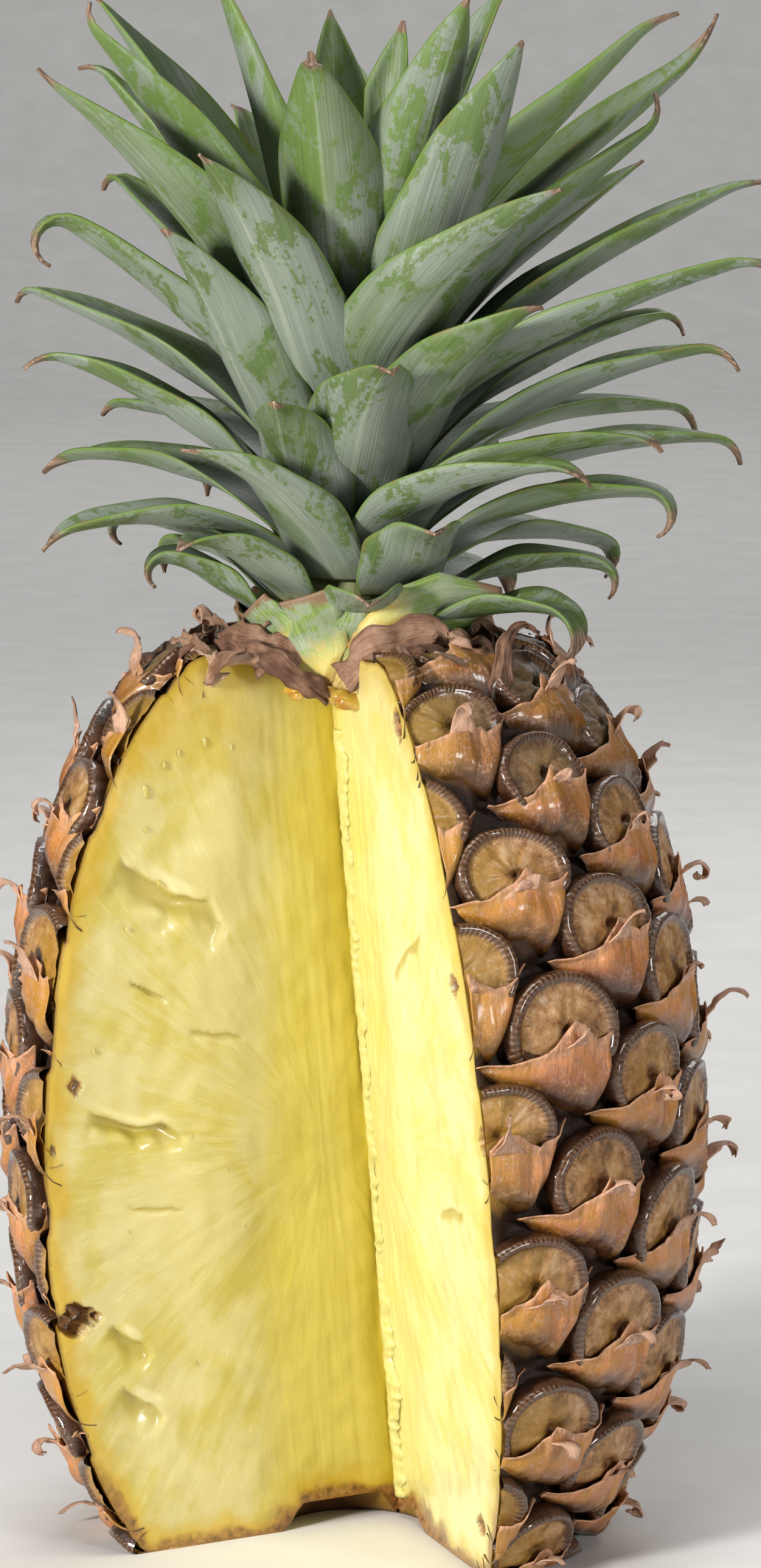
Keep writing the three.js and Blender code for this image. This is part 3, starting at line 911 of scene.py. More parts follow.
FLESH_SEEDS = {LEFT_AZIMUTH: 21, RIGHT_AZIMUTH: 41}
RAY_MIDDLE = (9.0, 74.0)  # where the fibres of a cut face spread from


def rim_path(rind, azimuth):
    """The rind's cut edge on one face, as [out, up], from the seam's foot round to the crown."""
    points = unplace(points_of(rind))
    off, out = off_cut(azimuth, points)
    open_edge = (np.hypot(points[:, 0], points[:, 1]) > OVERHANG_RADIUS) | (points[:, 2] < CUT_TOP)
    here = np.flatnonzero((np.abs(off) < 0.02) & (out > -0.02) & open_edge)
    along = read(rind, "along")[here]
    order = here[np.argsort(np.where(along < 0, out[here] - 1000, along))]
    return np.stack([np.maximum(out[order], 0), points[order, 2]], 1)


def inside(polygon, x, y):
    """Which places are inside a closed outline."""
    found = np.zeros(len(x), bool)
    for (x1, y1), (x2, y2) in zip(polygon, np.roll(polygon, -1, axis=0)):
        if y1 == y2:
            continue
        crosses = ((y1 > y) != (y2 > y)) & (x < (x2 - x1) * (y - y1) / (y2 - y1) + x1)
        found ^= crosses
    return found


def nearest_on(path, x, y, block=4000):
    """The nearest place on a line, and how far it is."""
    start, step = path[:-1], np.diff(path, axis=0)
    length = np.maximum((step**2).sum(1), 1e-12)
    places, distances = [], []
    for i in range(0, len(x), block):
        at = np.stack([x[i : i + block], y[i : i + block]], 1)[:, None]
        share = np.clip(((at - start) * step).sum(2) / length, 0, 1)
        near = start + share[..., None] * step
        gap = np.hypot(*np.moveaxis(at - near, 2, 0))
        best = gap.argmin(1)
        rows = np.arange(len(best))
        places.append(near[rows, best])
        distances.append(gap[rows, best])
    return np.concatenate(places), np.concatenate(distances)


def flesh_relief(azimuth, out, up_, rind_gap, ray, reach):
    """How a cut face stands off its plane, with how hollow it is and how much of a lip, which the finish
    paints as shadow and highlight, and how brown.
    """
    seed = FLESH_SEEDS[azimuth]
    lift = 0.45 * rumple(out * 0.09, up_ * 0.09, seed) + 0.16 * rumple(out * 0.3, up_ * 0.3, seed + 1)
    lift += 0.07 * rumple(ray * 26, reach * 0.12, seed + 2) + 0.03 * rumple(ray * 80, reach * 0.3, seed + 3)
    core = 1 - ease(out, *CORE_EDGE)
    lift += core * 0.06 * rumple(out * 0.8, up_ * 0.04, seed + 4)
    lift += core * 0.03 * rumple(out * 2.6, up_ * 0.1, seed + 5)
    hollow, lip_highlight = np.zeros_like(out), np.zeros_like(out)
    for (x1, y1), (x2, y2), width, depth, lip in CAVITIES[azimuth]:
        length = math.hypot(x2 - x1, y2 - y1)
        way = ((x2 - x1) / length, (y2 - y1) / length)
        forth = ((out - x1) * way[0] + (up_ - y1) * way[1]) / length
        from_middle = 2 * forth - 1
        taper = np.sqrt(np.clip(1 - from_middle**2, 0, 1)) * ease(1 - np.abs(from_middle), 0, 0.15)
        wander = 0.7 * width * taper * rumple(forth * 4, np.full_like(out, seed), seed + 6)
        side = (out - x1) * way[1] - (up_ - y1) * way[0] + wander * ease(length, 5, 20)
        ragged = 1 + 0.5 * rumple(out * 0.35, up_ * 0.35, seed + 9)
        spread = np.where(side > 0, 0.45, 1.25) * width * ragged
        sharp = np.where(side > 0, 4.0, 1.8)
        hole = np.exp(-np.abs(side / spread) ** sharp) * taper
        upper = hill(side, 1.1 * width, 0.6 * width) * taper**3 * ease(width, 0.7, 1.6)
        upper = upper * ease(rumple(out * 0.2, up_ * 0.2, seed + 8), -0.9, 0.5)
        lift += CAVITY_LIP * lip * upper - CAVITY_DEPTH * depth * hole
        lip_highlight = np.maximum(lip_highlight, upper)
        hollow = np.maximum(hollow, hole)
    brown = np.zeros_like(out)
    for x, y, wide, high, depth in PITS[azimuth]:
        x_share, y_share = np.abs(out - x) / wide, np.abs(up_ - y) / high
        near = x_share**1.2 + y_share**1.2 + 0.25 * rumple(out * 0.9, up_ * 0.9, seed + 7)
        pit = 1 - ease(near, 0.55, 1.0)
        lift = lift - depth * pit
        brown = np.maximum(brown, 1 - ease(near, 0.75, 1.15))
    fade = ease(rind_gap, *RIM_FADE) * ease(out, *SEAM_FADE)
    return lift * fade, hollow, lip_highlight, brown


def make_flesh(rind, azimuth, name, material):
    """One cut face: a fine sheet that fills the rind's cut edge, with its border snapped to that edge."""
    rim = rim_path(rind, azimuth)
    outline = np.concatenate([rim, [(0.0, rim[-1, 1]), (0.0, rim[0, 1])]])
    wide, high = outline[:, 0].max() + 1, outline[:, 1].max() + 1
    columns, rows = round(wide / FLESH_SPACING), round(high / FLESH_SPACING)
    flesh, across, along = new_sheet(name, columns, rows)
    out, up_ = (across + 1) / 2 * wide, along * high
    move_points(flesh, np.stack([out, np.zeros_like(out), up_], 1))
    mark(flesh, points=~inside(outline, out, up_))
    with editing(flesh, "VERT"):
        bpy.ops.mesh.delete(type="VERT")
        bpy.ops.mesh.select_all(action="SELECT")
        bpy.ops.mesh.delete_loose(use_verts=True, use_edges=True, use_faces=False)
    flat = points_of(flesh)
    out, up_ = flat[:, 0].copy(), flat[:, 2].copy()
    uses = np.zeros(len(flesh.data.edges), int)
    np.add.at(uses, fetch(flesh.data.loops, "edge_index", kind=int), 1)
    border = np.unique(fetch(flesh.data.edges, "vertices", 2, int)[uses == 1])
    closed = np.concatenate([outline, outline[:1]])
    snapped, _ = nearest_on(closed, out[border], up_[border])
    out[border], up_[border] = snapped[:, 0], snapped[:, 1]
    _, rind_gap = nearest_on(rim, out, up_)
    ray = np.arctan2(up_ - RAY_MIDDLE[1], out - RAY_MIDDLE[0])
    reach = np.hypot(out - RAY_MIDDLE[0], up_ - RAY_MIDDLE[1])
    lift, hollow, lip, brown = flesh_relief(azimuth, out, up_, rind_gap, ray, reach)
    points = on_cut(azimuth, out, up_, lift)
    move_points(flesh, place(points))
    if (fetch(flesh.data.polygons, "normal", 3) @ cut_normal(azimuth)).mean() < 0:
        all_over(flesh, bpy.ops.mesh.flip_normals)
    write(flesh, out=out, up=up_, ray=ray, reach=reach, hollow=hollow, lip=lip, brown=brown)
    write(flesh, rind_gap=rind_gap, core_gap=np.hypot(points[:, 0], points[:, 1]))
    return finish_piece(flesh, [material], "fruit")


# ---- The crown's leaves ----

STEM_HEIGHT = 54.0
STEM_FOOT = 14.0  # the stem's radius at its foot and tip
STEM_TIP = 3.5
LEAF_TURN = 137.5  # degrees between one leaf and the next
LEAF_FIRST = -32.5
LEAF_STEM_GAP = 1.4
LEAF_LOWEST = 2.5  # the feet's heights over the fruit's top
LEAF_RANGE = 48.0
LEAF_CHANNEL = 0.5  # how deep a blade is folded, as a share of its half width
CHANNEL_CENTRE = 0.4
HALF_ANGLES = (0.75, 0.5)  # pairs are for the lowest and the innermost leaf
FOOT_PITCHES = (30.0, 80.0)
LEAF_BOWS = (30.0, 6.0)
LEAF_WIDTHS = (16.5, 23.0)
RANK_POWER = 0.9
FOOT_PULL = 0.3
TIP_PULL = 0.36
SWING_POWER = 1.2
EDGE_WAVE = 0.03
BLADE_RIPPLE = 0.25
LINE_STEPS = 60  # points on a leaf's middle line, and steps in its curled tip
CURL_STEPS = 16
LEAF_SEED = 500
LEAF_COLUMNS = 10
LEAF_ROWS = 44
LEAF_THICKNESS = 0.5

# One row a leaf, from the lowest to the innermost, as in the CAD: reach, tip height, swing, curl and the
# curled tip's length.
LEAVES = [
    (44, 176, 0, 130, 11), (35, 184, 0, 150, 8), (44, 178, 0, 80, 8), (29, 179, 0, 20, 4),
    (45, 183, 0, 90, 8), (45, 182, 0, 120, 8), (38, 189, 0, 40, 5), (49, 185, 0, 90, 8),
    (33, 191, -14, 20, 4), (43, 190, 0, 150, 7), (55, 183, 0, 120, 8), (41, 205, -28, 10, 4),
    (57, 195, 0, 80, 8), (57, 197, 0, 150, 11), (54, 191, 0, 40, 8), (57, 200, 0, 90, 8),
    (50, 203, 32, 70, 7), (57, 200, 0, 30, 12), (68, 204, 0, 75, 8), (35, 213, 14, 10, 4),
    (57, 209, 0, 80, 8), (54, 207, 20, 60, 6), (53, 220, 0, 60, 8), (72, 208, -12, 80, 8),
    (37, 220, 12, 60, 5), (55, 209, 14, 60, 5), (63, 222, 0, 75, 9), (46, 243, 12, 10, 4),
    (55, 229, 0, 60, 7), (46, 230, 11, 20, 5), (62, 231, 0, 90, 5), (62, 226, 0, 90, 8),
    (48, 256, -9, 10, 4), (56, 241, 0, 50, 7), (71, 238, 12, 60, 10), (53, 245, 0, 190, 14),
    (55, 247, 0, 60, 7), (54, 251, 30, 10, 3), (55, 251, 0, 110, 6), (68, 250, 0, 30, 10),
    (57, 268, -22, -10, 7), (50, 270, 0, 40, 6), (50, 276, -8, 10, 3), (45, 271, 0, 70, 6),
    (64, 252, 0, 0, 5), (40, 272, 0, 60, 6), (38, 262, 0, 40, 6), (53, 261, 12, -80, 8),
    (50, 279, -4, -60, 6), (38, 283, -24, 30, 6), (43, 283, 4, 10, 3), (49, 283, 4, 10, 3),
    (62, 271, 0, -30, 14), (14, 270, 0, 0, 6), (20, 280, 0, 10, 3), (53, 278, 18, 30, 9),
    (24, 286, 0, 10, 5), (13, 277, 0, 0, 4),
]
# The widths of the broad leaves on the open side, by their place in the order.
BROAD_LEAVES = {
    9: 23, 20: 22, 25: 26, 28: 24, 30: 25, 33: 26, 38: 28,
    41: 26, 43: 27, 46: 29, 49: 26, 51: 26, 52: 25, 53: 25,
}


def leaf_line(rank, reach, tip_height, curl, curl_length):
    """A leaf's middle line in its own upright plane: distance from the axis, height over the fruit's top, the
    way it points, and how far along it is."""
    order = rank**RANK_POWER
    foot_height = LEAF_LOWEST + LEAF_RANGE * order
    stem_radius = mix(STEM_FOOT, STEM_TIP, min(1, foot_height / STEM_HEIGHT))
    foot = np.array([stem_radius + LEAF_STEM_GAP, foot_height])
    tip = np.array([reach, tip_height - FRUIT_TOP])
    foot_pitch = math.radians(mix(*FOOT_PITCHES, order))
    chord_pitch = math.atan2(tip[1] - foot[1], tip[0] - foot[0])
    tip_pitch = chord_pitch - math.radians(mix(*LEAF_BOWS, rank))
    span = math.hypot(*(tip - foot))
    first = foot + span * FOOT_PULL * np.array([math.cos(foot_pitch), math.sin(foot_pitch)])
    second = tip - span * TIP_PULL * np.array([math.cos(tip_pitch), math.sin(tip_pitch)])
    t = np.linspace(0, 1, LINE_STEPS)[:, None]
    line = (1 - t) ** 3 * foot + 3 * (1 - t) ** 2 * t * first + 3 * (1 - t) * t * t * second + t**3 * tip
    way = 3 * (1 - t) ** 2 * (first - foot) + 6 * (1 - t) * t * (second - first) + 3 * t * t * (tip - second)
    pitch = list(np.arctan2(way[:, 1], way[:, 0]))
    line = list(line)
    start = pitch[-1]
    for i in range(1, CURL_STEPS + 1):
        now = start - math.radians(curl) * i / CURL_STEPS
        between = (pitch[-1] + now) / 2
        step = curl_length / CURL_STEPS
        line.append(line[-1] + step * np.array([math.cos(between), math.sin(between)]))
        pitch.append(now)
    line = np.array(line)
    at = np.concatenate([[0], np.cumsum(np.hypot(*np.diff(line, axis=0).T))])
    return line, np.array(pitch), at


def leaf_width(share):
    """A blade's width along it, as a share of its widest."""
    swell = 0.66 + 0.34 * np.sin(np.minimum(share / 0.4, 1) * (math.pi / 2))
    return swell * (1 - share**2.9)


def make_leaf(index, materials):
    """One leaf on its CAD leaf's own line, folded along the middle, with a dried tip."""
    reach, tip_height, swing, curl, curl_length = LEAVES[index]
    rank = index / (len(LEAVES) - 1)
    width = BROAD_LEAVES.get(index + 1, mix(*LEAF_WIDTHS, rank))
    dice = np.random.default_rng(LEAF_SEED + index)
    line, pitch, at = leaf_line(rank, reach, tip_height, curl, curl_length)
    name = f"leaf_{index + 1:02d}"
    sheet, across, share = new_sheet("crown_" + name, LEAF_COLUMNS, LEAF_ROWS)
    length = at[-1]
    radius = np.interp(share * length, at, line[:, 0])
    height = np.interp(share * length, at, line[:, 1])
    lean = np.interp(share * length, at, pitch)
    half_width = np.maximum(0.25, width / 2 * leaf_width(share))
    phase = dice.uniform(0, 6)
    half_width = half_width * (1 + EDGE_WAVE * np.sin(share * 19 + phase))
    widest = mix(*HALF_ANGLES, rank)
    half_angle = np.minimum(widest, half_width / np.maximum(radius, 1))
    turn = math.radians(swing) * share**SWING_POWER
    channel = LEAF_CHANNEL * half_width * ease(share, 0.1, 0.5)
    lift = channel * (across**2 - CHANNEL_CENTRE)
    lift += BLADE_RIPPLE * np.sin(share * 15 + phase + across * 2) * np.abs(across) * ease(share, 0.2, 0.6)
    away = radius - np.sin(lean) * lift
    angle = turn + across * half_angle + math.radians(LEAF_FIRST - index * LEAF_TURN)
    height = height + np.cos(lean) * lift + FRUIT_TOP
    move_points(sheet, place(np.stack([away * np.cos(angle), away * np.sin(angle), height], 1)))
    curl_start = 1 - curl_length / length
    write(sheet, leaf_across=across, leaf_share=share, across_mm=across * half_width, along_mm=share * length)
    write(sheet, dried=ease(share, curl_start + 0.1 * (1 - curl_start), 1.0))
    write(sheet, tone=dice.uniform(0, 1), low=1 - rank)
    thicken(sheet, LEAF_THICKNESS, 0.0, second_material=1)
    return finish_piece(sheet, materials, "leaf", name)


# ---- The collar: dried shreds and pale leaf feet round the neck ----

# Each ribbon's path is [azimuth in degrees, distance from the axis, height], then its widths along the path,
# its roll, and how far round its own width it is curled, in degrees.
DRIED_RIBBONS = [
    ([(238, 19.5, 165.0), (228, 22, 168.0), (216, 25.5, 170.5), (206, 28, 170.0)], (4, 9, 10, 4), -20, 60),
    ([(233, 22, 166.0), (225, 26, 166.6), (214, 31, 166.0)], (5, 6, 4), 30, 300),
    ([(220, 27, 169.5), (234, 24, 166.5), (245, 21, 162.3), (256, 18.6, 158.8)], (2, 4, 5, 2), 10, 60),
    ([(262, 19.8, 163.6), (282, 22.0, 168.6), (304, 24.4, 170.6), (312, 26.5, 168.5)], (5, 9, 7, 2), -15, 50),
    ([(266, 19.2, 162.6), (285, 22, 165.8), (303, 26.5, 165.2), (311, 29, 162.6)], (3, 6, 5, 2), 20, 80),
    ([(270, 19.8, 165.2), (288, 23, 167.0), (305, 27.5, 167.6)], (4, 6, 3), -30, 120),
    (
        [(303, 23, 166.0), (310, 25, 170), (318, 27, 170.8), (324, 28.5, 166), (319, 29, 161.5)],
        (4, 3, 3, 2, 1), 30, 90,
    ),
    (
        [(299, 24, 164.5), (308, 26, 168), (317, 28, 167.5), (319, 29.4, 163.5), (313, 29.4, 163)],
        (4, 3, 2, 2, 1), 60, 90,
    ),
    ([(306, 24, 163.5), (313, 27, 166.5), (322, 29, 168.6), (331, 30, 165)], (5, 4, 3, 1), -40, 120),
    ([(297, 31.2, 156.0), (293, 31.8, 161.6), (291, 30.6, 166.0), (286, 29.6, 170.4)], (8, 4, 3, 1.2), 0, 70),
    (
        [(316, 37.6, 157.5), (314.5, 38.6, 164.7), (318.5, 37, 171.0), (322, 39, 173.6), (325, 41, 172)],
        (12, 5, 3, 2, 1), 0, 70,
    ),
    ([(196, 33, 160.0), (200, 34.5, 165.0), (207, 33, 169.5), (214, 32, 168.0)], (9, 5, 3, 1), 20, 70),
    ([(214, 30, 162.0), (210, 32, 166.0), (203, 33.5, 170.0), (197, 35, 169.0)], (7, 5, 3, 1.2), -20, 60),
]
LEAF_FEET = [
    ([(252, 17, 161.5), (247, 18.6, 166.5), (240, 19.8, 171.8), (236, 21.4, 177.2)], (4, 13, 19, 18), 0, 60),
    ([(228, 18.5, 166), (222, 20.5, 170.5), (214, 23.5, 175.0)], (6, 13, 10), 10, 60),
    (
        [(268, 18.4, 168.0), (290, 20.8, 172.6), (314, 24.0, 175.6), (332, 30.5, 176.8)],
        (3, 11, 13, 5), -20, 70,
    ),
    (
        [(258, 16.8, 160.5), (266, 17.8, 166.0), (273, 18.8, 171.5), (276, 19.6, 176.5)],
        (6, 14, 17, 16), 0, 60,
    ),
    ([(284, 17.2, 160.2), (294, 19.0, 165.2), (305, 20.6, 170.4)], (6, 12, 13), 0, 50),
]
FEET_ROUND_THE_BACK = (340, 16, 52, 88, 124, 160, 192)  # degrees
FOOT_THICKNESS = 0.5
SHREDS = 74  # small dried shreds between the ribbons
SHRED_TURN = 0.618  # of a whole turn, from one shred to the next
SHRED_RADII = (18.5, 33)
OPEN_SIDE = (208, 292)  # no shred starts over the cut
COLLAR_SEED = 77
SHOULDER_START = (18.0, 167.6)  # the shoulder's line under the shreds, by distance from the axis and height
SHOULDER_FALL = 0.22
SHOULDER_BEND = 0.006


def smooth_path(points, share):
    """A smooth line through given points, at these shares of the way."""
    points = np.asarray(points, float)
    at = share * (len(points) - 1)
    i = np.clip(np.floor(at).astype(int), 0, len(points) - 2)
    t = (at - i)[:, None]
    padded = np.concatenate([2 * points[:1] - points[1:2], points, 2 * points[-1:] - points[-2:-1]])
    a, b, c, d = padded[i], padded[i + 1], padded[i + 2], padded[i + 3]
    return 0.5 * (2 * b + (c - a) * t + (2 * a - 5 * b + 4 * c - d) * t**2 + (3 * b - a - 3 * c + d) * t**3)


def make_ribbon(name, path, widths, roll, curl, seed, grid, crumple=0.35, ragged=0.5):
    """A sheet along a path round the neck, facing outwards. grid is its columns and rows."""
    ribbon, across, along = new_sheet(name, *grid)
    azimuth, radius, height = np.asarray(path, float).T
    azimuth = np.radians(azimuth)
    turned = np.stack([radius * np.cos(azimuth), radius * np.sin(azimuth), height], 1)
    middle = smooth_path(turned, along)
    step = 0.01
    ahead = smooth_path(turned, np.minimum(along + step, 1))
    ahead -= smooth_path(turned, np.maximum(along - step, 0))
    ahead /= np.linalg.norm(ahead, axis=1)[:, None]
    facing = np.stack([middle[:, 0], middle[:, 1], np.full(len(middle), 4.0)], 1)
    facing -= (facing * ahead).sum(1)[:, None] * ahead
    facing /= np.linalg.norm(facing, axis=1)[:, None]
    side = np.cross(ahead, facing)
    angle = math.radians(roll) * (0.4 + along)
    turned_side = side * np.cos(angle)[:, None] + facing * np.sin(angle)[:, None]
    turned_facing = facing * np.cos(angle)[:, None] - side * np.sin(angle)[:, None]
    width = np.interp(along, np.linspace(0, 1, len(widths)), widths)
    width = width * (1 + ragged * rumple(along * 9, np.full_like(along, seed) + (across > 0) * 5, 15))
    bend = np.maximum(math.radians(curl), 0.01) * (0.3 + 0.7 * along)
    sweep = across * bend / 2
    radius = width / bend
    offset = np.sin(sweep) * radius
    drop = (1 - np.cos(sweep)) * radius
    rough = crumple * rumple(across * 2.0 + seed, along * 7, 16)
    rough = rough + 0.6 * crumple * rumple(across * 5, along * 9, seed)
    points = middle + turned_side * offset[:, None] - turned_facing * (drop - rough)[:, None]
    move_points(ribbon, place(points))
    write(ribbon, ribbon_across=across, ribbon_up=1 + along, tone=(seed * 0.37) % 1)
    return ribbon


def make_collar(material):
    """The dried leaves round the neck: the large ribbons as listed, then shreds all the way round."""
    dice = np.random.default_rng(COLLAR_SEED)
    ribbons = []
    for i, (path, widths, roll, curl) in enumerate(DRIED_RIBBONS):
        ribbons.append(make_ribbon(f"dried_{i}", path, widths, roll, curl, i + 1, (12, 40), 0.6))
    for i in range(SHREDS):
        azimuth = 360 * i * SHRED_TURN % 360
        radius = dice.uniform(*SHRED_RADII)
        if OPEN_SIDE[0] < azimuth < OPEN_SIDE[1]:
            continue
        past = radius - SHOULDER_START[0]
        height = SHOULDER_START[1] - SHOULDER_FALL * past - SHOULDER_BEND * past**2
        path = [(azimuth, radius, height - 1.0)]
        rise, turn = dice.uniform(1.0, 3.4), dice.uniform(-9, 9)
        out = dice.uniform(-0.5, 3.5)
        for _ in range(3):
            last = path[-1]
            path.append((last[0] + turn, last[1] + out, last[2] + rise))
            rise -= dice.uniform(0.3, 2.2)
            turn += dice.uniform(-4, 4)
            out += dice.uniform(-1.2, 1.2)
        width = dice.uniform(4, 9)
        widths = (width, width * 0.8, width * 0.45, 0.8)
        roll, curl = dice.uniform(-50, 50), dice.uniform(40, 200)
        ribbons.append(make_ribbon(f"shred_{i}", path, widths, roll, curl, i + 20, (6, 16)))
    collar = join("neck_collar", ribbons)
    thicken(collar, BRACT_THICKNESS, -1.0)
    return finish_piece(collar, [material], "fruit")


NECK_WIDTH = 16.8  # the crown's foot: its radius, its lower edge and its top
NECK_FOOT = 158.6
NECK_TOP = 175.0
NECK_SQUARENESS = 0.45


def make_neck(material, foot_material):
    """The pale foot of the crown, which stands out over the top of the cut, with the lowest leaves' feet."""
    bpy.ops.mesh.primitive_uv_sphere_add(segments=96, ring_count=48, radius=1)
    neck = bpy.context.object
    neck.name = "crown_foot"
    points = points_of(neck)
    azimuth = np.arctan2(points[:, 1], points[:, 0])
    level = points[:, 2]
    flat = np.hypot(points[:, 0], points[:, 1]) ** NECK_SQUARENESS
    round_ = azimuth / TAU * TABLE
    radius = flat * (NECK_WIDTH + 0.7 * rumple(round_, level * 4, 61))
    foot = NECK_FOOT + 1.2 * rumple(round_ * 0.5, level * 0, 63)
    height = mix(foot, NECK_TOP, (level + 1) / 2) + 0.4 * rumple(round_ * 0.5, level * 3, 62)
    move_points(neck, place(np.stack([radius * np.cos(azimuth), radius * np.sin(azimuth), height], 1)))
    write(neck, level=level)
    feet = []
    behind = [
        ([(at - 4, 18.2, 165.0), (at, 19.8, 170.0), (at + 4, 22.5, 174.5)], (11, 17, 12), 0, 60)
        for at in FEET_ROUND_THE_BACK
    ]
    for i, (path, widths, roll, curl) in enumerate(LEAF_FEET + behind):
        foot_leaf = make_ribbon(f"leaf_foot_{i}", path, widths, roll, curl, i + 90, (12, 30), 0.25, 0.12)
        write(foot_leaf, level=read(foot_leaf, "ribbon_up") * 1.6 - 2.0)
        thicken(foot_leaf, FOOT_THICKNESS, -1.0)
        feet.append(foot_leaf)
    finish_piece(join("leaf_feet", feet), [foot_material], "fruit")
    return finish_piece(neck, [material], "fruit")


GUM_PLACES = [  # azimuth, distance from the axis, height, and half width
    (229, 17.4, 160.2, 1.4), (233, 17.6, 159.4, 1.1), (252, 17.2, 160.4, 1.7), (257, 17.4, 159.2, 1.3),
    (262, 17.3, 159.8, 1.5), (266, 17.2, 158.7, 1.9), (271, 17.2, 158.5, 1.7), (275, 17.0, 158.9, 1.2),
    (243, 17.3, 160.9, 0.9), (281, 17.0, 159.8, 0.8),
]
JUICE_PLACES = [  # drops on the left face: out, up and half length
    (40.5, 143.0, 1.4), (36.2, 147.5, 0.9), (33.0, 149.6, 0.7), (27.4, 151.2, 1.0), (22.0, 150.0, 0.7),
    (41.2, 136.0, 0.6), (39.5, 126.0, 0.6), (47.0, 118.0, 0.5), (56.0, 96.0, 0.6), (37.5, 78.0, 0.5),
    (30.6, 71.0, 0.6), (52.2, 61.5, 0.5), (46.2, 58.0, 0.5), (28.0, 60.0, 0.4), (41.0, 35.0, 0.5),
]


def make_drops(gum_material, juice_material):
    """Amber gum along the neck's lower edge, and beads of juice on the cut."""
    drops = []
    upright = np.array([0, 0, 1.0])
    for i, (azimuth, radius, height, size) in enumerate(GUM_PLACES):
        bpy.ops.mesh.primitive_uv_sphere_add(segments=24, ring_count=14, radius=1)
        drop = bpy.context.object
        ball = points_of(drop)
        lumpy = 1 + 0.2 * rumple(ball[:, 0] * 2 + i * 3, ball[:, 2] * 2, 17)
        turn = math.radians(azimuth)
        out, side = outwards(turn), np.array([-math.sin(turn), math.cos(turn), 0.0])
        middle = out * radius + upright * height
        shape = ball * lumpy[:, None] * size
        spread = shape[:, :1] * out * 0.7 + shape[:, 1:2] * side * 1.3 + shape[:, 2:] * upright * 0.8
        move_points(drop, place(middle + spread))
        drops.append(drop)
    finish_piece(join("amber_gum", drops), [gum_material], "fruit")
    drops = []
    for out, up_, size in JUICE_PLACES:
        bpy.ops.mesh.primitive_uv_sphere_add(segments=16, ring_count=10, radius=1)
        drop = bpy.context.object
        ball = points_of(drop) * size
        across = out + ball[:, 0] * 0.45
        move_points(drop, place(on_cut(LEFT_AZIMUTH, across, up_ + ball[:, 2], ball[:, 1] * 0.4 + 0.1)))
        all_over(drop, bpy.ops.mesh.normals_make_consistent, inside=False)
        drops.append(drop)
    finish_piece(join("juice", drops), [juice_material], "fruit")


SLIVER_ENDS = (4.5, 152.0)  # heights
SLIVER_THICKNESS = 0.4


def make_sliver(material):
    """The thin torn edge of core that the knife left along the seam."""
    sliver, across, along = new_sheet("core_sliver", 10, 300)
    up_ = mix(*SLIVER_ENDS, along)
    ragged = rumple(up_ * 0.32, np.zeros_like(up_), 31) + 0.6 * rumple(up_ * 1.1, np.ones_like(up_), 32)
    lower = 1 - ease(up_, 40, 52)
    half = 2.1 + 0.9 * ragged + 0.7 * lower * (1 + 0.4 * ragged) + 0.8 * ease(up_, 110, 150)
    lift = (0.8 + 0.6 * lower) * (1 - across**2) + 0.15 * rumple(across * 2, up_ * 0.8, 33)
    out = 0.8 + 1.0 * lower + half * (across + 0.45)
    points = on_cut(RIGHT_AZIMUTH, out, up_, lift)
    toward_left = 0.8 * np.maximum(-across, 0) * (0.5 + 0.5 * ragged)
    points = points + toward_left[:, None] * cut_normal(LEFT_AZIMUTH)
    move_points(sliver, place(points))
    write(sliver, up=up_, across=across)
    thicken(sliver, SLIVER_THICKNESS, -1.0)
    return finish_piece(sliver, [material], "fruit")


# ---- Finishes ----

# Noise scales are per metre where the noise is read in place, and per unit of the piece's own numbers
# otherwise. A relief's depth is in millimetres.


def rind_finish():
    """The skin under the discs and scales: dark brown, with painted shade darkest in the grooves, and riper
    at the cuts.
    """
    skin = Finish("rind")
    here = skin.here()
    groove, from_cut = skin.number("groove"), skin.number("from_cut")
    patches = skin.noise(here, 160.0, 4.0, 0.6)
    speckle = skin.noise(here, 1400.0, 3.0, 0.7)
    colour = skin.paint(
        skin.ramp(patches, (0.35, tint(56, 32, 16)), (0.6, tint(80, 48, 24)), (0.75, tint(98, 66, 32))),
        (skin.fade(from_cut + patches * 6.0, 3.0, 10.0) * 0.5, tint(164, 124, 22)),
        # painted shade: near black in the grooves, where shade falls between the eyes
        (skin.ease(groove, 0.2, 0.8) * 0.9, tint(34, 18, 8)),
    )
    normal = skin.bump(patches + speckle * 0.3, 0.5)
    return skin.surface(colour, 0.6 + (speckle - 0.5) * 0.3, normal, Specular_IOR_Level=0.3)


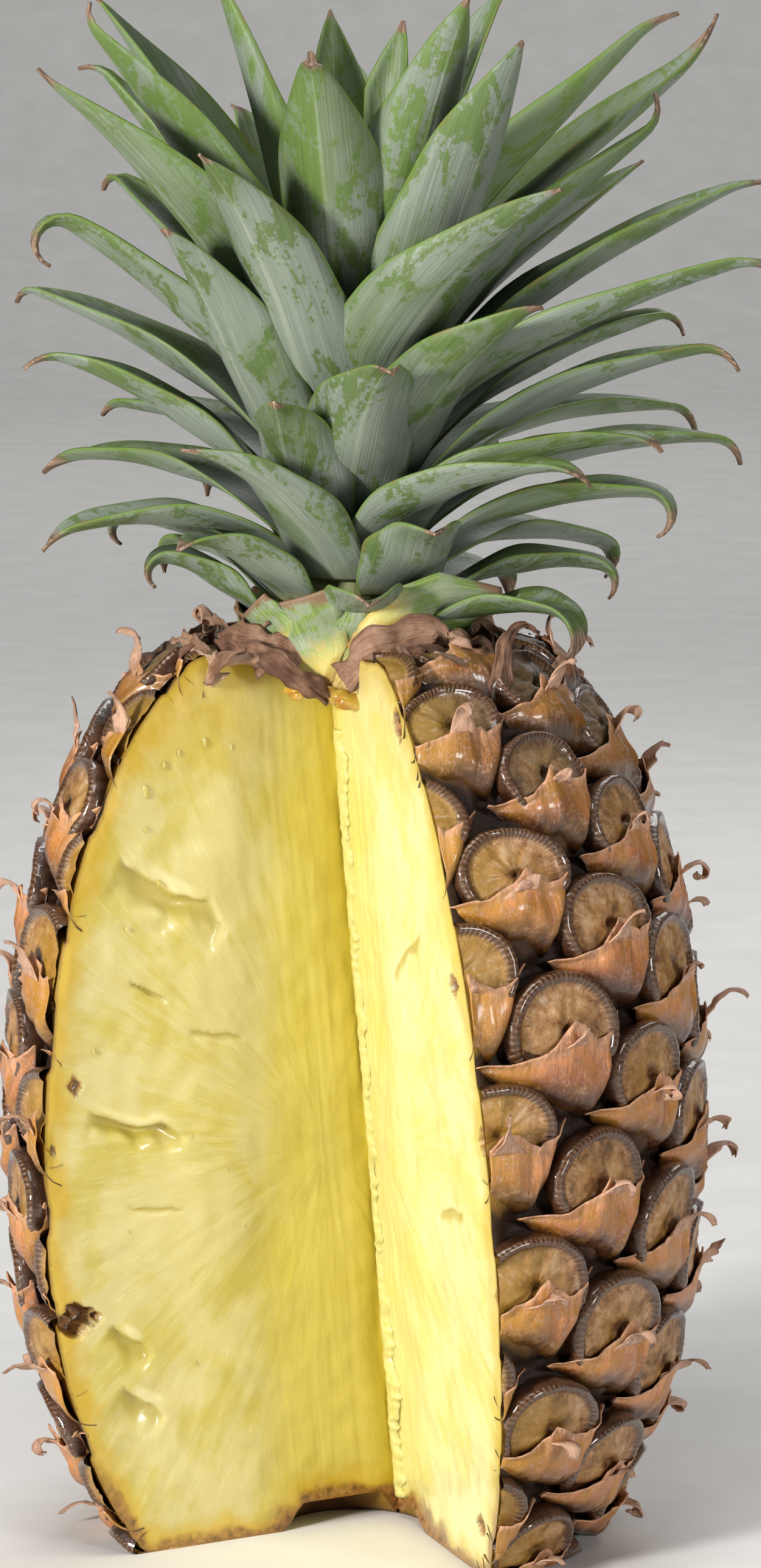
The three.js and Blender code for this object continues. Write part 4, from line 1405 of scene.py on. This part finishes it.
def disc_finish():
    """Brown wrinkled faces, olive towards the middle and dark at it, in a dark glossy ridge of beads with
    painted highlights on their crests.
    """
    disc = Finish("eye disc")
    here = disc.here()
    ring, across, upward = disc.number("ring"), disc.number("across"), disc.number("upward")
    tone, from_cut, along = disc.number("tone"), disc.number("from_cut"), disc.number("along")
    turn = disc.angle(upward, across)
    crinkle = disc.noise(disc.together(turn * 6.0, ring * 1.6, tone * 30.0), 3.2, 4.0, 0.65, 0.2)
    patches = disc.noise(here, 170.0, 4.0, 0.6)
    speckle = disc.noise(here, 1500.0, 3.0, 0.7)
    mottle = disc.noise(here, 420.0, 5.0, 0.65, 0.4)
    beads = disc.sine(turn * BEADS) * 0.5 + 0.5
    outer = disc.ease(ring, 0.45, 0.8)
    wrinkled = disc.ramp(
        mottle * 0.75 + outer * (crinkle - 0.5) * 0.45 + (patches - 0.5) * 0.5 + 0.13,
        (0.34, tint(80, 48, 24)), (0.45, tint(142, 98, 56)),
        (0.55, tint(176, 132, 86)), (0.7, tint(200, 168, 134)),
    )
    olive = disc.ramp(patches, (0.35, tint(120, 84, 36)), (0.65, tint(172, 126, 40)))
    ridge = disc.ease(ring, 0.75, 0.84)
    # painted highlight: each bead of the ridge is painted lighter on its crest
    bead_highlights = disc.blend(beads * (0.3 + (crinkle - 0.5) * 1.6), tint(66, 36, 14), tint(138, 100, 66))
    wall = disc.ease(ring, 0.98, 1.02)
    colour = disc.paint(
        wrinkled,
        (disc.fade(ring + (patches - 0.5) * 1.4, 0.35, 0.8) * (0.25 + 0.35 * tone), olive),
        (disc.fade(ring + (mottle - 0.5) * 0.5, 0.05, 0.26) * 0.75, tint(88, 48, 26)),
        (disc.ease(along, 140.0, 172.0) * 0.65, tint(54, 52, 38)),
        (disc.fade(from_cut + patches * 8.0, 5.0, 20.0) * 0.6, tint(158, 120, 28)),
        (ridge * 0.95, bead_highlights),
        (wall, disc.ramp(patches, (0.4, tint(46, 26, 14)), (0.6, tint(84, 54, 36)))),
        (disc.ease(speckle, 0.56, 0.74) * (1.0 - ridge) * 0.35, tint(190, 178, 166)),
    )
    height = crinkle * outer * 0.8 + mottle * 0.5 + speckle * 0.1 + beads * ridge * (1.0 - wall) * 0.45
    roughness = 0.5 - 0.28 * ridge + (speckle - 0.5) * 0.25
    coat = ridge * 0.7 + 0.1
    return disc.surface(colour, roughness, disc.bump(height, 0.42), Coat_Weight=coat, Coat_Roughness=0.1)


def bract_finish():
    """The scales: painted shade where they go down into the groove, orange-brown and glossy on the body, pale
    and dry to the tip.
    """
    scale = Finish("dried scale")
    here = scale.here()
    across, upward = scale.number("bract_across"), scale.number("bract_up")
    tone, from_cut, along = scale.number("tone"), scale.number("from_cut"), scale.number("along")
    mottle = scale.noise(here, 520.0, 5.0, 0.65, 0.3)
    streaks = scale.noise(scale.together(across * 9.0, upward, tone * 40.0), 1.8, 5.0, 0.65, 0.4)
    patches = scale.noise(here, 190.0, 4.0, 0.6)
    speckle = scale.noise(here, 1700.0, 3.0, 0.7)
    on_body = scale.fade(upward, 0.8, 1.05)
    ochre = scale.ease(patches + tone * 0.2 + (streaks - 0.5) * 0.6, 0.54, 0.7) * on_body
    bloom = scale.ease(speckle * 0.6 + mottle * 0.5, 0.55, 0.68) * scale.ease(upward, 0.08, 0.35)
    colour = scale.paint(
        # painted shade: the ramp's darkest stops, at the lower margin, stand for the groove's shade
        scale.ramp(
            upward * 0.5,
            (0.0, tint(44, 24, 10)), (0.08, tint(92, 52, 22)), (0.2, tint(160, 92, 44)),
            (0.34, tint(202, 132, 78)), (0.46, tint(208, 152, 112)), (0.56, tint(208, 166, 138)),
            (1.0, tint(190, 150, 124)),
        ),
        (scale.ease(streaks, 0.46, 0.66) * 0.45, tint(96, 52, 24)),
        (scale.ease(mottle, 0.48, 0.66) * 0.5, tint(104, 58, 28)),
        (ochre * 0.7, tint(170, 114, 22)),
        (scale.ease(along, 140.0, 175.0) * on_body * 0.5, tint(98, 72, 24)),
        (scale.fade(from_cut + patches * 8.0, 4.0, 18.0) * on_body * 0.6, tint(172, 126, 24)),
        # reddish-brown wing edges, darkened further as painted shade towards the margins
        (scale.ease(across * across, 0.5, 0.95) * on_body * 0.6, tint(102, 54, 26)),
        # painted shade: the lower margin is darkened again where it goes down into the groove
        (scale.fade(upward + (mottle - 0.5) * 0.5, 0.04, 0.5) * 0.85, tint(58, 28, 10)),
        (bloom * 0.45, tint(188, 154, 136)),
    )
    normal = scale.bump(streaks * 0.5 + mottle * 0.5 + speckle * 0.15, 0.45)
    roughness = 0.34 + scale.ease(upward, 0.35, 0.9) * 0.28 + (speckle - 0.5) * 0.2
    coat = 0.6 - 0.5 * scale.ease(upward, 0.5, 1.0)
    return scale.surface(colour, roughness, normal, Coat_Weight=coat, Coat_Roughness=0.16)


def flesh_finish(name, pale):
    """The wet cut flesh. pale is how far it goes from golden to lemon white: painted light, for the face that
    the key lamp lights more.
    """
    flesh = Finish(name)
    here = flesh.here()
    out, up_, gap = flesh.number("out"), flesh.number("up"), flesh.number("rind_gap")
    ray, reach, core_gap = flesh.number("ray"), flesh.number("reach"), flesh.number("core_gap")
    hollow, lip, brown = flesh.number("hollow"), flesh.number("lip"), flesh.number("brown")
    fibres = flesh.noise(flesh.together(ray * 9.0, reach * 0.03, 0.0), 2.4, 4.0, 0.55, 0.5)
    fine_fibres = flesh.noise(flesh.together(ray * 40.0, reach * 0.10, 5.0), 2.0, 3.0, 0.6, 0.3)
    core_fibres = flesh.noise(flesh.together(out * 0.5, up_ * 0.012, 3.0), 2.0, 4.0, 0.55, 0.3)
    clouds = flesh.noise(flesh.together(out, up_), 0.06, 4.0, 0.5, 0.6)
    waves = flesh.noise(flesh.together(out, up_, 9.0), 0.16, 2.0, 0.5)
    fine = flesh.noise(here, 700.0, 4.0, 0.6)
    # painted light: pale lightens the whole face and weakens its golden marks
    cream = flesh.blend(pale, tint(198, 187, 126), tint(236, 228, 168))
    gold = flesh.blend(pale, tint(181, 164, 46), tint(228, 216, 122))
    core = flesh.fade(core_gap + (fine - 0.5) * 3.0, 11.0, 22.0)
    core_colour = flesh.ramp(
        core_fibres, (0.25, tint(196, 178, 68)), (0.5, tint(204, 188, 80)), (0.8, tint(212, 198, 100)),
    )
    high = flesh.ease(up_, 138.0, 158.0) * (1.0 - 0.7 * pale) * flesh.ease(out, 10.0, 24.0)
    stalk_end = flesh.fade(up_ + (waves - 0.5) * 9.0, 3.0, 7.0) * flesh.fade(out, 24.0, 34.0)
    low_rim = flesh.fade(gap + (waves - 0.5) * 6.0, 0.8, 3.0) * flesh.fade(up_, 8.0, 26.0)
    stain = flesh.ramp(fine, (0.35, tint(84, 46, 20)), (0.6, tint(156, 108, 48)))
    rust = flesh.blend(flesh.ease(fine, 0.4, 0.6), tint(92, 48, 20), tint(150, 96, 40))
    colour = flesh.paint(
        cream,
        (flesh.ease(clouds + (fibres - 0.5) * 0.4, 0.42, 0.68) * 0.7, gold),
        (flesh.ease(fine_fibres, 0.52, 0.75) * 0.2, tint(230, 222, 168)),
        (core * (0.8 - 0.5 * pale), core_colour),
        (flesh.fade(out, 0.5, 8.0) * (0.7 - 0.6 * pale), tint(194, 172, 28)),
        (flesh.fade(gap + (waves - 0.5) * 8.0, 1.0, 7.0) * (0.85 - 0.35 * pale), tint(190, 154, 4)),
        (high * 0.6, tint(182, 152, 34)),
        # painted shadow: the cavities are darker gold inside, below their lips
        (flesh.ease(hollow, 0.15, 0.75) * 0.65, tint(170, 150, 48)),
        # painted highlight: the cavities' upper lips are painted pale cream
        (flesh.ease(lip, 0.1, 0.9) * 0.6, tint(224, 216, 170)),
        (stalk_end * 0.85, stain),
        (low_rim * 0.85, stain),
        (flesh.fade(gap + (fine - 0.5) * 0.8, 0.1, 0.8) * 0.6, tint(128, 88, 16)),
        (brown * 0.92, rust),
    )
    height = fibres * 0.25 + fine_fibres * 0.25 + core * core_fibres * 0.15 + fine * 0.45
    roughness = 0.36 + (fine - 0.5) * 0.5
    wet = {"Coat_Weight": 0.5, "Coat_Roughness": 0.1} | WET_FLESH
    return flesh.surface(colour, roughness, flesh.bump(height, 0.14), **wet)


def leaf_finish(name, under):
    """A leaf's side: the under side is grey with wax where it isn't rubbed, the upper side is plain green."""
    leaf = Finish(name)
    here = leaf.here()
    across, share = leaf.number("leaf_across"), leaf.number("leaf_share")
    across_mm, along_mm = leaf.number("across_mm"), leaf.number("along_mm")
    dried, tone, low = leaf.number("dried"), leaf.number("tone"), leaf.number("low")
    veins = leaf.noise(leaf.together(across_mm * 2.0, along_mm * 0.03, tone * 50.0), 1.5, 3.0, 0.6)
    stripes = leaf.noise(leaf.together(across_mm * 2.6, along_mm * 0.012, tone * 70.0), 1.0, 1.0, 0.4)
    rubs = leaf.noise(leaf.together(across_mm * 0.16, along_mm * 0.07, tone * 90.0), 1.0, 5.0, 0.65, 0.8)
    fields = leaf.noise(leaf.together(across_mm * 0.05, along_mm * 0.022, tone * 30.0), 1.0, 2.0, 0.5)
    speckle = leaf.noise(here, 900.0, 4.0, 0.65)
    young = leaf.fade(low, 0.05, 0.45)
    green = leaf.ramp(veins, (0.3, tint(66, 86, 34)), (0.55, tint(82, 103, 44)), (0.8, tint(98, 120, 60)))
    green = leaf.blend(young * 0.5, green, tint(98, 126, 46))
    if under:
        lined = leaf.ease(stripes, 0.5, 0.62) * leaf.ease(fields + share * 0.25, 0.55, 0.75)
        wear = rubs + (speckle - 0.5) * 0.35 + (veins - 0.5) * 0.2 + (share - 0.5) * 0.14
        bare = leaf.ease(fields + share * 0.16 + young * 0.12 + (rubs - 0.5) * 0.3, 0.58, 0.72)
        colour = leaf.paint(
            leaf.ramp(
                veins,
                (0.25, tint(104, 114, 100)), (0.55, tint(122, 132, 118)), (0.85, tint(140, 148, 134)),
            ),
            (leaf.ease(wear, 0.53, 0.58) * 0.85, green),
            (lined * 0.25, green),
            (bare * 0.5, green),
        )
    else:
        dark = leaf.ramp(veins, (0.35, tint(50, 64, 40)), (0.55, tint(70, 86, 56)), (0.75, tint(96, 110, 80)))
        colour = leaf.blend(leaf.ease(fields + young * 0.2, 0.5, 0.7) * 0.6, dark, green)
    side = across * across
    worn_edge = leaf.blend(leaf.ease(rubs, 0.55, 0.65), tint(96, 124, 42), tint(118, 108, 58))
    rib = leaf.fade(side, 0.0, 0.004)
    foot = leaf.fade(share + (rubs - 0.5) * 0.1, 0.0, 0.16) * 0.8 * leaf.ease(low, 0.75, 1.0)
    tip = leaf.ease(dried + (speckle - 0.5) * 0.4 + (veins - 0.5) * 0.4, 0.15, 0.6)
    straw = leaf.ramp(
        veins,
        (0.35, tint(84, 62, 48)), (0.55, tint(128, 104, 84)), (0.75, tint(172, 150, 128)),
    )
    colour = leaf.paint(
        colour,
        (leaf.ease(side, 0.86, 0.96) * 0.7, worn_edge),
        (rib * 0.2, tint(170, 178, 150)),
        (foot, tint(190, 186, 104)),
        (tip, straw),
    )
    normal = leaf.bump(veins + speckle * 0.15 + rib * 0.5, 0.12)
    roughness = (0.5 if under else 0.36) + tip * 0.25
    return leaf.surface(colour, roughness, normal, Specular_IOR_Level=0.4)


def foot_finish():
    """The lowest leaves' feet: pale where they were covered, then streaked green and grey, then dried."""
    foot = Finish("leaf foot")
    here = foot.here()
    across, level, tone = foot.number("ribbon_across"), foot.number("level"), foot.number("tone")
    veins = foot.noise(foot.together(across * 14.0, level * 0.5, tone * 40.0), 2.4, 3.0, 0.55)
    rubs = foot.noise(foot.together(across * 1.6, level * 2.0, tone * 60.0), 1.5, 5.0, 0.65, 0.6)
    speckle = foot.noise(here, 900.0, 4.0, 0.65)
    covered = foot.ramp(rubs, (0.35, tint(190, 162, 60)), (0.6, tint(210, 198, 120)))
    dried = foot.ease(level + (rubs - 0.5) * 0.5 + across * across * 0.12, 1.02, 1.16)
    green = foot.ramp(
        veins,
        (0.35, tint(82, 106, 40)), (0.55, tint(116, 140, 66)), (0.7, tint(146, 162, 100)),
    )
    wax = foot.ramp(veins, (0.3, tint(112, 124, 92)), (0.55, tint(130, 142, 110)), (0.8, tint(150, 158, 132)))
    colour = foot.paint(
        wax,
        (foot.ease(rubs + (speckle - 0.5) * 0.3, 0.46, 0.58), green),
        (foot.fade(level + (veins - 0.5) * 0.5 + (rubs - 0.5) * 0.5, 0.0, 0.45), covered),
        (foot.fade(level + (rubs - 0.5) * 0.6, -0.42, 0.0) * 0.7, tint(146, 94, 44)),
        (dried * 0.9, tint(124, 90, 66)),
    )
    return foot.surface(colour, 0.5 + (speckle - 0.5) * 0.3, foot.bump(veins + speckle * 0.2, 0.12))


def dried_finish():
    """The collar's dried leaves: papery, fibrous and brown."""
    paper = Finish("dried leaf")
    here = paper.here()
    across, upward, tone = paper.number("ribbon_across"), paper.number("ribbon_up"), paper.number("tone")
    fibres = paper.noise(paper.together(across * 16.0, upward * 2.0, tone * 50.0), 3.0, 4.0, 0.65, 0.1)
    patches = paper.noise(here, 220.0, 4.0, 0.6)
    speckle = paper.noise(here, 1700.0, 3.0, 0.7)
    colour = paper.ramp(
        fibres * 0.5 + patches * 0.5 + (tone - 0.5) * 0.22,
        (0.36, tint(84, 52, 36)), (0.45, tint(136, 98, 74)),
        (0.54, tint(170, 134, 108)), (0.64, tint(194, 164, 138)),
    )
    colour = paper.blend(paper.ease(across * across, 0.5, 1.0) * 0.5, colour, tint(92, 54, 34))
    return paper.surface(colour, 0.6 + (speckle - 0.5) * 0.2, paper.bump(fibres + speckle * 0.2, 0.22))


def neck_finish():
    """The crown's foot: stained amber below, yellow in the middle and green at the top."""
    foot = Finish("crown foot")
    here = foot.here()
    patches = foot.noise(here, 120.0, 5.0, 0.6)
    fine = foot.noise(here, 900.0, 3.0, 0.6)
    colour = foot.ramp(
        foot.number("level") * 0.5 + 0.5 + (patches - 0.5) * 0.4,
        (0.05, tint(160, 104, 36)), (0.22, tint(196, 168, 66)),
        (0.5, tint(196, 178, 86)), (0.8, tint(84, 98, 46)),
    )
    colour = foot.blend(foot.ease(patches, 0.62, 0.7) * 0.7, colour, tint(150, 98, 50))
    return foot.surface(colour, 0.42 + (fine - 0.5) * 0.4, foot.bump(fine + patches, 0.3), Coat_Weight=0.1)


def gum_finish():
    gum = Finish("amber gum")
    patches = gum.noise(gum.here(), 400.0, 3.0, 0.5)
    colour = gum.ramp(patches, (0.35, tint(214, 150, 40)), (0.65, tint(240, 208, 90)))
    clear = {"Transmission_Weight": 0.55, "Coat_Weight": 0.8, "IOR": 1.42}
    return gum.surface(colour, 0.08, gum.bump(patches, 0.3), **clear)


def juice_finish():
    juice = Finish("juice")
    clouds = juice.noise(juice.here(), 300.0, 2.0, 0.5)
    colour = juice.ramp(clouds, (0.35, tint(226, 214, 120)), (0.65, tint(240, 234, 170)))
    clear = {"Transmission_Weight": 0.6, "Coat_Weight": 1.0, "IOR": 1.36}
    return juice.surface(colour, 0.06, **clear)


def sliver_finish():
    sliver = Finish("torn core")
    at = sliver.together(sliver.number("across") * 4.0, sliver.number("up") * 0.15)
    fibres = sliver.noise(at, 2.0, 4.0, 0.6)
    colour = sliver.ramp(fibres, (0.3, tint(208, 192, 88)), (0.7, tint(228, 218, 140)))
    return sliver.surface(colour, 0.35, sliver.bump(fibres, 0.3), Coat_Weight=0.4, **WET_FLESH)


def stem_finish():
    stem = Finish("crown stem")
    patches = stem.noise(stem.here(), 150.0, 4.0, 0.6)
    colour = stem.ramp(patches, (0.3, tint(84, 92, 50)), (0.7, tint(128, 130, 76)))
    return stem.surface(colour, 0.6, stem.bump(patches, 0.4))


def floor_finish():
    floor = Finish("studio floor")
    grain = floor.noise(floor.here(), 40.0, 3.0, 0.5)
    colour = floor.ramp(grain, (0.3, tint(214, 213, 210)), (0.7, tint(222, 221, 218)))
    return floor.surface(colour, 0.8)


# ---- Build ----

rind = make_rind(rind_finish())
make_bracts(bract_finish())
make_discs(disc_finish())
# painted light: both faces are one flesh, and the right one, lit more by the key lamp, is painted paler
make_flesh(rind, LEFT_AZIMUTH, "flesh_left", flesh_finish("flesh left", 0.0))
make_flesh(rind, RIGHT_AZIMUTH, "flesh_right", flesh_finish("flesh right", 0.75))
leaf_sides = [leaf_finish("leaf under", True), leaf_finish("leaf upper", False)]
for leaf_index in range(len(LEAVES)):
    make_leaf(leaf_index, leaf_sides)
make_collar(dried_finish())
make_neck(neck_finish(), foot_finish())
make_drops(gum_finish(), juice_finish())
make_sliver(sliver_finish())

stem_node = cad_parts["crown_stem"]
stem_node.data.materials.clear()
stem_node.data.materials.append(stem_finish())

# ---- Floor, light and camera ----

SWEEP_WIDE = 9.0  # the paper that the fruit stands on, which rises behind it
SWEEP_BACK = 4.0
SWEEP_HIGH = 3.0
SWEEP_ROUND = 1.2
SWEEP_STEPS = 24
NEAR = 0.01  # how exactly a point of the paper is told by its place
MIDDLE = (0.0, 0.0, 0.14)
WHITE = (1.0, 1.0, 1.0)
ROOM_COLOUR = (0.86, 0.9, 1.0, 1.0)
ROOM_LIGHT = 0.06
LAMPS = [  # name, place, what it faces, size, power in watts and colour
    ("key", (-0.78, -0.85, 0.4), MIDDLE, (0.16, 0.2), 18.5, (1.0, 0.98, 0.95)),
    ("fill", (0.8, -0.85, 0.36), MIDDLE, (0.22, 0.28), 5.4, WHITE),
    ("rear", (0.3, 0.8, 0.8), MIDDLE, (0.7, 0.5), 4.0, WHITE),
    ("paper", (0.0, 1.6, 2.2), (0.0, 3.2, 0.0), (1.6, 0.6), 30.0, WHITE),
    ("top", (-0.1, -0.35, 1.1), MIDDLE, (0.5, 0.3), 4.0, WHITE),
]
CAMERA_PLACE = (-0.00222, -1.09180, 0.29435)
CAMERA_AIM = (-0.00222, -0.0025, 0.14126)
CAMERA_LENS = 136.82
SENSOR_WIDTH = 36.0
CLIP_START = 0.01


def make_sweep(material):
    """A wide sheet of pale paper that turns up behind in one soft bend."""
    middle = (0, SWEEP_BACK - SWEEP_WIDE / 2, 0)
    bpy.ops.mesh.primitive_plane_add(size=SWEEP_WIDE, location=middle)
    sweep = bpy.context.object
    sweep.name = "studio_sweep"
    bpy.ops.object.transform_apply(location=True, rotation=True, scale=True)
    mark(sweep, points=points_of(sweep)[:, 1] > SWEEP_BACK - NEAR)
    with editing(sweep, "VERT"):
        bpy.ops.mesh.extrude_region_move(TRANSFORM_OT_translate={"value": (0, 0, SWEEP_HIGH)})
    points = points_of(sweep)
    mark(sweep, points=(points[:, 1] > SWEEP_BACK - NEAR) & (points[:, 2] < NEAR))
    with editing(sweep, "VERT"):
        bpy.ops.mesh.bevel(offset=SWEEP_ROUND, segments=SWEEP_STEPS, affect="EDGES")
    bpy.ops.object.shade_smooth()
    sweep.data.materials.append(material)


def face(made, target):
    """Turns a lamp or the camera towards a place."""
    made.rotation_euler = (Vector(target) - made.location).to_track_quat("-Z", "Y").to_euler()


make_sweep(floor_finish())

world = bpy.data.worlds.new("studio")
bpy.context.scene.world = world
world.use_nodes = True
room = world.node_tree.nodes["Background"].inputs
room["Color"].default_value = ROOM_COLOUR
room["Strength"].default_value = ROOM_LIGHT

for lamp_name, lamp_place, lamp_target, lamp_size, power, lamp_colour in LAMPS:
    bpy.ops.object.light_add(type="AREA", location=lamp_place)
    lamp = bpy.context.object
    lamp.name = lamp_name
    lamp.data.shape = "RECTANGLE"
    lamp.data.size, lamp.data.size_y = lamp_size
    lamp.data.energy = power
    lamp.data.color = lamp_colour
    face(lamp, lamp_target)
bpy.context.scene.view_settings.view_transform = "Standard"

bpy.ops.object.camera_add(location=CAMERA_PLACE)
camera = bpy.context.object
camera.name = "camera"
face(camera, CAMERA_AIM)
camera.data.lens = CAMERA_LENS
camera.data.sensor_width = SENSOR_WIDTH
camera.data.clip_start = CLIP_START
bpy.context.scene.camera = camera
